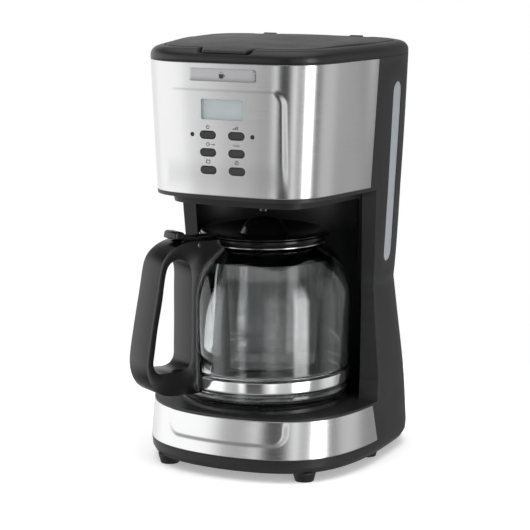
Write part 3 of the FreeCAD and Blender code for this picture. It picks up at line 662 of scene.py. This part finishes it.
MAT["led_clear"] = moulded("led_clear", (0.03, 0.012, 0.012), 0.15, grain=900.0, bump=0.01, edge=0.0)
MAT["board_green"] = moulded("board_green", (0.03, 0.16, 0.07), 0.30, grain=700.0, bump=0.08)
MAT["switch_black"] = moulded("switch_black", (0.03, 0.03, 0.03), 0.45)
MAT["zinc_screw"] = brushed("zinc_screw", (0.62, 0.62, 0.60), 0.30, streak=(900.0, 900.0, 900.0), bump=0.1)
MAT["cast_aluminium"] = brushed("cast_aluminium", (0.60, 0.60, 0.60), 0.45, streak=(420.0, 420.0, 420.0), bump=0.35, aniso=0.0)
MAT["spring_steel"] = brushed("spring_steel", (0.60, 0.60, 0.61), 0.25, streak=(600.0, 600.0, 2500.0), bump=0.08)
MAT["silicone"] = moulded("silicone", (0.62, 0.62, 0.58), 0.45, grain=1200.0, bump=0.06, edge=0.05)
MAT["white_plastic"] = moulded("white_plastic", (0.72, 0.72, 0.70), 0.40, edge=0.05)
MAT["handle_black"] = moulded("handle_black", (0.0022, 0.0022, 0.0025), 0.15, grain=2800.0, bump=0.02, spread=0.03, edge=0.05, spec=0.34)
MAT["ink"] = moulded("ink", (0.035, 0.035, 0.038), 0.55, grain=5000.0, bump=0.05, edge=0.0)

for sub in frame["record"]["subparts"]:
    ob = NODES[sub["node"]]
    ob.data.materials.clear()
    ob.data.materials.append(MAT[sub["material_slot"]])
    ob.data.polygons.foreach_set("use_smooth", [True] * len(ob.data.polygons))
    ob.data.set_sharp_from_angle(angle=math.radians(34.0))

# =====================================================================================
# stainless bands
# =====================================================================================
def band_end_y(kind, z):
    if kind == "head":
        return 15.3 + 1.5 * (z - 227.7) / 104.3
    return 13.3 - 6.2 * (z - 19.2) / 31.1


def emboss(kind, x, y, z):
    hw, r = 51.0, 10.0
    if kind == "head":
        qx, qz = np.abs(x) - (hw - r), z - (310.6 - r)
        fade = smoothstep(229.0, 258.0, z)
    else:
        qx, qz = np.abs(x) - (hw - r), (30.9 + r) - z
        fade = 0.35 + 0.65 * smoothstep(51.0, 44.0, z)
    d = np.hypot(np.maximum(qx, 0), np.maximum(qz, 0)) + np.minimum(np.maximum(qx, qz), 0) - r
    h = 1.0 - smoothstep(-2.7, 2.7, d)
    return np.where(y < 0, h * fade, 0.0) * 1.0


def band_mesh(name, kind, z0, z1, rows, cols, mat):
    outer, inner = [], []
    zs = np.linspace(z0, z1, rows)
    # tighten the rows at both edges for a small rolled edge
    zs = np.concatenate([[z0, z0 + 0.25, z0 + 0.6], zs[1:-1][(zs[1:-1] > z0 + 0.9) & (zs[1:-1] < z1 - 0.9)], [z1 - 0.6, z1 - 0.25, z1]])
    for z in zs:
        D = periodic(control(z))
        ye = band_end_y(kind, z)
        s = arclen(D)
        half = len(D) // 2
        k = int(np.argmax(D[:half, 1] > ye))
        t = (ye - D[k - 1, 1]) / (D[k, 1] - D[k - 1, 1])
        se = s[k - 1] + t * (s[k] - s[k - 1])
        C = np.vstack([D, D[:1]])
        q = np.linspace(-se, se, cols)
        qq = np.where(q < 0, q + s[-1], q)
        P = np.stack([np.interp(qq, s, C[:, 0]), np.interp(qq, s, C[:, 1])], 1)
        tv = np.gradient(P, axis=0)
        tv /= np.linalg.norm(tv, axis=1)[:, None]
        nv = np.stack([tv[:, 1], -tv[:, 0]], 1)
        e = emboss(kind, P[:, 0], P[:, 1], np.full(cols, z))
        edge = 0.0
        if z < z0 + 0.5 or z > z1 - 0.5:
            edge = 0.22 if (z == z0 or z == z1) else 0.06
        po = P + nv * (e - edge)[:, None]
        pi = P + nv * (e - 0.8)[:, None]
        zc = np.full(cols, z)
        outer.append(np.column_stack([po, zc]))
        inner.append(np.column_stack([pi, zc]))
    n, m = cols, len(zs)
    v = np.vstack(outer + inner) * MM
    f = []
    off = n * m
    for k in range(m - 1):
        for i in range(n - 1):
            a = k * n + i
            f.append((a, a + 1, a + n + 1, a + n))
            f.append((off + a, off + a + n, off + a + n + 1, off + a + 1))
        a = k * n
        f.append((a, a + n, off + a + n, off + a))
        a = k * n + n - 1
        f.append((a, off + a, off + a + n, a + n))
    for i in range(n - 1):
        f.append((i, off + i, off + i + 1, i + 1))
        a = (m - 1) * n + i
        f.append((a, a + 1, off + a + 1, off + a))
    ob = make(name, v, f, mat, None, 35.0)
    return ob


BUTTON_X, BUTTON_Z = 12.3, (275.8, 262.0, 248.15)
LED_X, LED_Z = 25.9, 275.7


def panel_y(z):
    return -75.2 - 2.0 * (z - 227.7) / 104.3


head = band_mesh("head_panel", "head", 227.8, 331.5, 96, 430, MAT["stainless"])
loops = [rrect_loop(-18, 18, 287.8, 303.9, 1.4)]
for zc in BUTTON_Z:
    for sx in (-1, 1):
        loops.append(pill_loop(14.2, 6.7, sx * BUTTON_X, zc))
for sx in (-1, 1):
    loops.append(circle_loop(1.75, sx * LED_X, LED_Z, 24))
cutters = [prism("cut%d" % i, [lp], (0, -86, 0), (1, 0, 0), (0, 0, 1), (0, 1, 0), 16.0, None, None) for i, lp in enumerate(loops)]
bm = bmesh.new()
for c in cutters:
    bm.from_mesh(c.data)
    bpy.data.objects.remove(c)
cm = bpy.data.meshes.new("cutters")
bm.to_mesh(cm)
bm.free()
cut_all = link(bpy.data.objects.new("cutters", cm))
boolean(head, [cut_all])
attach(head, ROOT)
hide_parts("head_trim_band")

base = band_mesh("base_panel", "base", 19.5, 50.1, 40, 430, MAT["stainless_base"])
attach(base, ROOT)
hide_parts("base_trim_band")

# =====================================================================================
# top collar with the finger notch, and the lid
# =====================================================================================
NC = 640
D332 = periodic(control(332.0))


def notch_weight(x, y, a=21.8, b=24.6):
    return np.where(y < -40, 1.0 - smoothstep(a, b, np.abs(x)), 0.0)


COLLAR = [(0.35, 332.0), (0.0, 332.5), (0.0, 334.4), (0.15, 336.0), (0.6, 337.5), (1.35, 338.8), (2.4, 339.9), (3.8, 340.9), (5.5, 341.6),
          (7.4, 342.1), (9.4, 342.4), (10.9, 342.5), (11.35, 342.35), (11.6, 341.9), (11.6, 338.6), (11.9, 338.3), (15.3, 338.2), (15.6, 337.9),
          (15.6, 332.4), (15.2, 332.0), (3.0, 332.0), (0.35, 332.0)]
rows = []
for ins, z in COLLAR[:-1]:
    P = ring(offset(D332, ins), NC)
    zz = np.full(NC, z, float)
    w = notch_weight(P[:, 0], P[:, 1])
    if z > 338.4:
        low = 338.5 + 0.0 * zz
        if ins <= 2.6:
            low = np.full(NC, min(z, 338.55 + 0.1 * ins))
        zz = zz * (1 - w) + np.minimum(zz, low) * w
    rows.append(np.column_stack([P, zz]))
rows.append(rows[0])
v, f = grid(rows, True)
collar = make("collar_ring", v, f, MAT["collar_black"], None, 40.0)
rear = offset(D332, 8.6)
rear = rear[(rear[:, 1] > 90) & (np.abs(rear[:, 0]) < 74)]
rear = rear[np.argsort(rear[:, 0])]
ext = [(float(x), float(min(y, 104.0))) for x, y in rear[::4]]
boolean(collar, [prism("cut_rear", [[(ext[0][0], 90.0)] + ext + [(ext[-1][0], 90.0)]], (0, 0, 330.0), (1, 0, 0), (0, 1, 0), (0, 0, 1), 20.0, None, None),
                 prism("cut_well", [circle_loop(64.3, 0, 0, 96)], (0, 0, 330.0), (1, 0, 0), (0, 1, 0), (0, 0, 1), 20.0, None, None)], sharp=40.0)
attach(collar, ROOT)
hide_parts("top_collar")

# lid outline with the finger tab drawn out at the front
D = periodic(control(332.0), 96)
L = offset(D, 12.1)
keep = ring(L, 2400)
tabw = np.where(keep[:, 1] < -40, smoothstep(22.6, 17.6, np.abs(keep[:, 0])), 0.0)
keep[:, 1] = keep[:, 1] * (1 - tabw) + (-75.5 + 0.0012 * keep[:, 0] ** 2) * tabw
OUT = ring(keep, 900)
cen = np.array([0.0, 17.0])


def lid_ring(scale_in, z, mask_tab=True):
    P = offset(OUT, scale_in)
    return np.column_stack([P, np.full(len(P), z) if np.isscalar(z) else z])


def lid_top(P):
    """height of the lid's upper skin: crowned, dropping a little along the tab"""
    q = (P - cen) / np.array([86.0, 84.0])
    rho = np.clip(np.sqrt((q ** 2).sum(1)), 0, 1.2)
    z = 343.1 + 3.3 * (1 - np.clip(rho, 0, 1) ** 2.2)
    t = np.where((np.abs(P[:, 0]) < 30) & (P[:, 1] < -60), smoothstep(-63.0, -75.5, P[:, 1]), 0.0)
    return z - 1.5 * t


rows = []
tabf = np.where(OUT[:, 1] < -66.0, smoothstep(-66.0, -68.0, OUT[:, 1]), 0.0)
zb = 338.7 + (339.2 - 338.7) * tabf
base_out = OUT.copy()
for ins, dz in ((2.6, None), (0.35, None), (0.0, 0.3)):
    P = offset(OUT, ins)
    rows.append(np.column_stack([P, zb + (dz or 0.0)]))
for ins, dz in ((0.0, -1.15), (0.12, -0.7), (0.45, -0.3), (0.95, -0.08), (1.6, 0.0)):
    P = offset(OUT, ins)
    rows.append(np.column_stack([P, lid_top(P) + dz]))
inner0 = offset(OUT, 1.6)
for s in (0.97, 0.93, 0.87, 0.8, 0.7, 0.58, 0.45, 0.3, 0.15, 0.04):
    P = cen + (inner0 - cen) * s
    rows.append(np.column_stack([P, lid_top(P)]))
v, f = grid(rows, True)
n = len(OUT)
top_c = len(v)
v = np.vstack([v, [[0.0, cen[1] * MM, (343.1 + 3.3) * MM]]])
k0 = (len(rows) - 1) * n
for i in range(n):
    f.append((k0 + i, k0 + (i + 1) % n, top_c))
# underside: thin skin, closed
under = []
for s, dz in ((1.0, 0.0), (0.95, 0.0), (0.94, 2.2), (0.5, 4.4), (0.04, 5.2)):
    P = cen + (offset(OUT, 2.6) - cen) * s
    z = zb + dz * (1 - tabf) if s > 0.9 else np.full(n, 338.7 + dz)
    under.append(np.column_stack([P, z]))
ku = len(v)
vu = np.vstack(under[1:]) * MM
v = np.vstack([v, vu])
prev = 0
for k in range(len(under) - 1):
    nxt = ku + k * n
    for i in range(n):
        j = (i + 1) % n
        f.append((prev + i, prev + j, nxt + j, nxt + i))
    prev = nxt
uc = len(v)
v = np.vstack([v, [[0.0, cen[1] * MM, 343.9 * MM]]])
for i in range(n):
    f.append((prev + i, prev + (i + 1) % n, uc))
lid = make("lid_cover", v, f, MAT["lid_black"], None, 40.0)
cuts = []
for sx in (-1, 1):
    x0, x1 = sorted((sx * 45.4, sx * 54.6))
    cuts.append(prism("lug_cut", [[(x0, 92.8), (x1, 92.8), (x1, 112.0), (x0, 112.0)]], (0, 0, 330.0), (1, 0, 0), (0, 1, 0), (0, 0, 1), 22.0, None, None))
boolean(lid, cuts, sharp=40.0)
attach(lid, "top_lid")
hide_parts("lid")
for sx in (-1, 1):
    x0, x1 = sorted((sx * 34.6, sx * 45.3))
    kn = prism("lid_knuckle_%s" % ("l" if sx < 0 else "r"), [circle_loop(2.9, 98.2, 341.0, 28)[:28]], (x0, 0, 0), (0, 1, 0), (0, 0, 1), (1, 0, 0), x1 - x0,
               MAT["lid_black"], "top_lid", bevel=0.5, segs=2)
    x0, x1 = sorted((sx * 46.0, sx * 54.0))
    lg = prism("hinge_lug_%s" % ("l" if sx < 0 else "r"), [rrect_loop(94.6, 101.8, 335.0, 342.5, 2.4)], (x0, 0, 0), (0, 1, 0), (0, 0, 1), (1, 0, 0), x1 - x0,
               MAT["collar_black"], ROOT, bevel=0.5, segs=2)

# =====================================================================================
# carafe: glass, band, neck collar, lid
# =====================================================================================
HANDLE_DEG = 240.0
ha = math.radians(HANDLE_DEG)
H = Vector((math.cos(ha), math.sin(ha), 0))
T = Vector((-H.y, H.x, 0))
if T.y > 0:
    T = -T
SP = math.atan2(-H.y, -H.x)
OUTER = [(0, 57.4), (60.0, 57.3), (66.5, 57.9), (70.6, 59.4), (72.8, 62.4), (73.0, 65.0), (72.2, 67.2), (70.6, 68.6), (70.5, 78.4),
         (72.0, 80.0), (72.7, 82.0), (72.7, 138.5), (72.3, 143.5), (70.9, 148.5), (69.2, 153.7), (66.6, 159.6), (62.6, 165.5),
         (58.5, 170.6), (52.9, 176.2), (48.6, 180.2), (46.6, 182.6), (46.2, 185.0), (47.4, 187.4)]


def dense_profile(pts, step=1.2):
    """smooth the joints of the glass profile, keep straight runs straight"""
    p = np.array(soften(pts, 3.0, closed=False, steps=5))
    return p


def inward(p, t):
    tv = np.gradient(p, axis=0)
    tv /= np.linalg.norm(tv, axis=1)[:, None]
    q = p + np.stack([-tv[:, 1], tv[:, 0]], 1) * t
    q[:, 0] = np.maximum(q[:, 0], 0.0)
    return q


po = dense_profile(OUTER)
pi = inward(po, 2.2)
pi[po[:, 0] < 58, 1] = 60.8
pi[0] = (0, 60.8)
rim_o = [(47.9, 188.2), (47.7, 188.75), (47.1, 188.95), (46.4, 188.8), (45.9, 188.3)]
prof = [tuple(q) for q in po] + rim_o + [tuple(q) for q in pi[::-1]]
seg = 192
ang = np.linspace(0, 2 * math.pi, seg, endpoint=False)
rows = []
for r, z in prof:
    rr = np.full(seg, r, float)
    zz = np.full(seg, z, float)
    if z > 172 and r > 30:
        da = np.abs((ang - SP + math.pi) % (2 * math.pi) - math.pi)
        wa = np.exp(-(da / math.radians(13.0)) ** 2)
        wz = float(smoothstep(176.0, 189.0, np.array(z)))
        rr = rr + 12.5 * wa * wz ** 1.3
        zz = zz - 1.2 * wa * wz
    rows.append(np.stack([rr * np.cos(ang), rr * np.sin(ang), zz], 1))
v, f = grid(rows, True)
glass = make("carafe_vessel", v, f, MAT["clear_glass"], "carafe", 60.0)
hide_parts("carafe_glass")

band = lathe("carafe_band_ring", soften([(70.6, 68.9), (71.9, 68.9), (72.1, 70.0), (72.1, 77.0), (71.9, 78.1), (70.6, 78.1)], 0.4), MAT["chrome_band"], "carafe", 192)
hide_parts("carafe_band")

# neck collar, open at the spout
prof = soften([(46.6, 182.9), (50.2, 182.9), (52.4, 184.6), (53.1, 186.2), (53.2, 188.2), (52.6, 188.7), (51.6, 188.6), (51.2, 187.9), (48.6, 187.9), (47.6, 185.4)], 0.5)
half_gap = math.radians(19.0)
seg = 180
angs = np.linspace(SP + half_gap, SP + 2 * math.pi - half_gap, seg)
rows = []
for a in angs:
    rows.append(np.array([(r * math.cos(a), r * math.sin(a), z) for r, z in prof]))
v, f = grid(rows, True)
k = len(prof)
f.append(tuple(range(k))[::-1])
f.append(tuple(range((seg - 1) * k, seg * k)))
nc = make("carafe_neck_ring", v, f, MAT["handle_black"], "carafe", 40.0)
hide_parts("carafe_collar")
tr = lathe("neck_trim_line", [(50.0, 182.2), (50.7, 182.15), (51.0, 182.45), (50.9, 182.9), (50.0, 183.0)], MAT["stainless"], "carafe", 192)


def rz(r, z, off=0.0):
    return (H.x * r + T.x * off, H.y * r + T.y * off, z)


def spline_loop(pts, n):
    P = periodic(np.array(pts, float), 24)
    return [tuple(q) for q in ring(P, n)]


HO = [(46.0, 180.0), (48.0, 187.0), (60.0, 189.0), (71.0, 189.8), (83.0, 189.6), (93.3, 186.8), (101.3, 182.0), (106.2, 176.0),
      (108.6, 169.0), (110.6, 158.5), (114.2, 140.0), (118.2, 119.5), (120.9, 104.0), (121.8, 95.5), (121.3, 87.5), (118.6, 79.6),
      (113.2, 72.6), (105.0, 68.2), (94.0, 66.6), (84.0, 66.2), (70.0, 66.4), (60.0, 72.0), (58.0, 95.0), (58.0, 120.0), (57.0, 145.0), (52.0, 162.0), (46.0, 172.0)]
HG = [(79.4, 155.0), (79.6, 166.0), (82.2, 173.0), (88.0, 176.6), (95.0, 176.2), (100.4, 172.4), (103.0, 166.2), (106.4, 146.5), (111.2, 123.0), (114.8, 100.5),
      (114.9, 92.0), (111.5, 87.6), (100.3, 86.4), (87.0, 86.6), (81.8, 90.4), (80.2, 99.0), (79.8, 118.6), (79.6, 142.9)]
W = 26.0
hand = prism("handle_body", [spline_loop(HO, 190), spline_loop(HG, 130)], rz(0, 0, -W / 2), (H.x, H.y, 0), (0, 0, 1), tuple(T), W,
             MAT["handle_black"], None, bevel=2.6, segs=4, ride=False, sharp=50.0)
pc = [(0, 50)] + [(r + 0.3, z) for r, z in po[1:]] + [(53.6, 187.8), (53.6, 196.0), (0, 196.0)]
cutg = lathe("cut_glass", [(0.0, 50.0)] + [(float(r) + 0.3, float(z)) for r, z in po if r > 40 and z > 58] + [(53.6, 187.8), (53.6, 196.0), (0.0, 196.0)],
             None if False else MAT["handle_black"], None, 128, closed=False)
slot_c = prism("cut_slot", [[(50, 186.2), (64, 186.2), (64, 181.0), (79.2, 181.0), (79.2, 183.6), (87.5, 189.0), (87.5, 200), (50, 200)]], rz(0, 0, -5.7), (H.x, H.y, 0), (0, 0, 1), tuple(T), 11.4, None, None)
boolean(hand, [cutg, slot_c, lathe("cut_neck", [(0.0, 182.3), (50.7, 182.3), (53.1, 184.7), (53.6, 188.4), (53.6, 200.0), (0.0, 200.0)], MAT["handle_black"], None, 96, closed=False)], sharp=44.0)
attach(hand, "carafe")
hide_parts("carafe_handle")
# pin end caps on both cheeks
for sgn, tag in ((-1, "a"), (1, "b")):
    pc_ = prism("pin_cap_" + tag, [circle_loop(1.9, 71.6, 186.2, 24)], rz(0, 0, 12.2 if sgn > 0 else -13.4), (H.x, H.y, 0), (0, 0, 1), tuple(T), 1.3,
                MAT["black_gloss"], "carafe", bevel=0.4, segs=2)

lid_prof = soften([(0, 199.3), (5.4, 199.0), (9.6, 197.6), (12.8, 195.2), (15.4, 192.0), (17.4, 188.4), (18.0, 185.9), (21.0, 185.7), (41.4, 188.2), (41.4, 185.6), (43.0, 185.6), (43.2, 188.9),
                   (51.9, 188.9), (52.1, 189.8), (50.8, 190.9), (46.5, 191.3), (42.5, 190.5), (22.0, 187.8), (20.3, 188.2), (19.0, 190.6), (16.8, 194.2), (14.0, 197.2), (10.6, 199.5), (5.8, 200.9), (0, 201.3)], 2.6, closed=False, steps=5)
clid = lathe("carafe_lid_disc", lid_prof, MAT["black_gloss"], "carafe_cover", 160, closed=False)
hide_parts("carafe_lid")
ARM = [(46.0, 189.4), (62.0, 189.7), (68.4, 184.4), (74.6, 183.4), (78.8, 186.2), (84.6, 190.6), (91.5, 191.6), (92.0, 192.6), (91.2, 195.2), (90.0, 196.8), (86.6, 197.4), (84.0, 196.6), (79.0, 193.8), (70.0, 192.2), (46.0, 191.4)]
arm = prism("carafe_lid_lever", [ARM], rz(0, 0, -5.2), (H.x, H.y, 0), (0, 0, 1), tuple(T), 10.4, MAT["handle_black"], "carafe_cover", bevel=0.8, segs=3)
tabp = prism("carafe_lid_thumb_tab", [[(84.2, 190.9), (91.6, 191.9), (91.9, 193.0), (90.9, 196.6), (89.2, 197.6), (83.6, 197.0), (82.6, 196.0), (83.2, 192.0)]], rz(0, 0, -8.6), (H.x, H.y, 0), (0, 0, 1), tuple(T), 17.2,
             MAT["handle_black"], "carafe_cover", bevel=1.0, segs=3)

# =====================================================================================
# control panel details: plate, pictograms
# =====================================================================================
def front(name, loops, z_ref, depth, mat, proud, bevel=0.0, segs=2, back=None):
    y = panel_y(z_ref) - proud
    ob = prism(name, loops, (0, y, 0), (1, 0, 0), (0, 0, 1), (0, 1, 0), depth, mat, ROOT, bevel=bevel, segs=segs)
    return ob


np_ = front("blank_name_plate", [rrect_loop(-28.5, 28.5, 317.5, 327.5, 2.4, 8)], 322.5, 1.1, MAT["plate_steel"], 0.85, bevel=0.35)
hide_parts("name_plate")
# a plain cup with steam on the blank plate
def bar(x0, z0, x1, z1, w):
    dx, dz = x1 - x0, z1 - z0
    d = math.hypot(dx, dz)
    nx, nz = -dz / d * w / 2, dx / d * w / 2
    return [(x0 + nx, z0 + nz), (x1 + nx, z1 + nz), (x1 - nx, z1 - nz), (x0 - nx, z0 - nz)]


def arc_band(cx, cz, r0, r1, a0, a1, n=18):
    o = [(cx + r1 * math.cos(math.radians(a0 + (a1 - a0) * k / n)), cz + r1 * math.sin(math.radians(a0 + (a1 - a0) * k / n))) for k in range(n + 1)]
    i = [(cx + r0 * math.cos(math.radians(a1 + (a0 - a1) * k / n)), cz + r0 * math.sin(math.radians(a1 + (a0 - a1) * k / n))) for k in range(n + 1)]
    return o + i


def icon(name, loops_list, z_ref, proud=0.07):
    obs = []
    for i, lps in enumerate(loops_list):
        y = panel_y(z_ref) - 1.0 - proud
        obs.append(prism("%s_%d" % (name, i), lps, (0, y, 0), (1, 0, 0), (0, 0, 1), (0, 1, 0), 0.3, MAT["ink"], None))
    bm = bmesh.new()
    for o in obs:
        bm.from_mesh(o.data)
        bpy.data.objects.remove(o)
    me = bpy.data.meshes.new(name)
    bm.to_mesh(me)
    bm.free()
    me.materials.append(MAT["ink"])
    ob = link(bpy.data.objects.new(name, me))
    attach(ob, ROOT)
    return ob


def power_icon(cx, cz, r):
    return [[arc_band(cx, cz, r * 0.72, r, -235, 55)], [bar(cx, cz + 0.1, cx, cz + r * 1.15, 0.42)]]


def strength_icon(cx, cz):
    return [[bar(cx - 2.4, cz - 1.3, cx - 2.4, cz - 0.2, 0.8)], [bar(cx - 0.8, cz - 1.3, cx - 0.8, cz + 0.6, 0.8)], [bar(cx + 0.8, cz - 1.3, cx + 0.8, cz + 1.4, 0.8)]]


def clock_icon(cx, cz, r, a, b):
    return [[circle_loop(r, cx, cz, 30), circle_loop(r * 0.78, cx, cz, 30)], [bar(cx, cz, cx + a[0], cz + a[1], 0.35)], [bar(cx, cz, cx + b[0], cz + b[1], 0.35)]]


ix = 12.3
icon("icon_power", power_icon(-ix, 281.9, 1.55), 281)
icon("icon_strength", strength_icon(ix, 282.0), 281)
icon("icon_delay", clock_icon(-ix, 268.4, 1.6, (0, 1.0), (0.8, 0)) + [[bar(-ix + 2.6, 268.4, -ix + 5.6, 268.4, 0.4)], [bar(-ix + 4.8, 269.2, -ix + 5.8, 268.4, 0.4)], [bar(-ix + 4.8, 267.6, -ix + 5.8, 268.4, 0.4)]], 268)
icon("icon_minute", [[bar(ix - 2.2 + 1.1 * k, 267.6, ix - 2.2 + 1.1 * k, 268.6 if k % 2 else 269.3, 0.4)] for k in range(5)], 268)
icon("icon_program", [[rrect_loop(-ix - 1.7, -ix + 1.7, 253.4, 256.0, 0.4), rrect_loop(-ix - 1.3, -ix + 1.3, 253.8, 255.6, 0.2)], [bar(-ix - 1.0, 256.0, -ix - 1.0, 256.9, 0.4)], [bar(-ix + 1.0, 256.0, -ix + 1.0, 256.9, 0.4)]], 254)
icon("icon_hour", clock_icon(ix, 254.9, 1.6, (0, 1.0), (-0.7, -0.4)), 254)
icon("plate_cup", [[[(-2.2, 323.4), (2.0, 323.4), (1.7, 320.6), (1.2, 320.0), (-1.4, 320.0), (-1.9, 320.6)]], [arc_band(2.2, 322.1, 0.55, 0.95, -90, 90)],
                   [bar(-1.0, 324.1, -0.6, 325.4, 0.35)], [bar(0.6, 324.1, 1.0, 325.4, 0.35)]], 322.5, proud=0.0)

# =====================================================================================
# floor
# =====================================================================================
fm, fn, fl, fb, ftc = base_material("floor_white")
fmp = mapping(fn, fl, ftc, 1.0)
fno = noise(fn, fl, fmp.outputs[0], 3.0, 3.0, 0.5)
fcol = tint(fn, fl, fno.outputs["Fac"], (0.84, 0.84, 0.84), (0.87, 0.87, 0.87))
fl.new(fcol.outputs[2], fb.inputs["Base Color"])
fb.inputs["Roughness"].default_value = 0.9
fb.inputs["Specular IOR Level"].default_value = 0.0
fb.inputs["Emission Color"].default_value = (1, 1, 1, 1)
fb.inputs["Emission Strength"].default_value = 0.34
v = [(0.34 * math.cos(2 * math.pi * k / 96), 0.34 * math.sin(2 * math.pi * k / 96), 0.0) for k in range(96)]
me = bpy.data.meshes.new("floor")
me.from_pydata(v, [], [tuple(range(96))])
me.materials.append(fm)
floor = link(bpy.data.objects.new("floor", me))
floor.visible_glossy = False

for ob in list(scene.collection.objects):
    if ob.type == "MESH" and ob is not floor and ob.name not in NODES and ob.data.users == 1:
        ob.data.transform(Matrix.Translation((0.0, -ORIGIN_Y, 0.0)))
        ob.data.update()
bpy.context.view_layer.update()
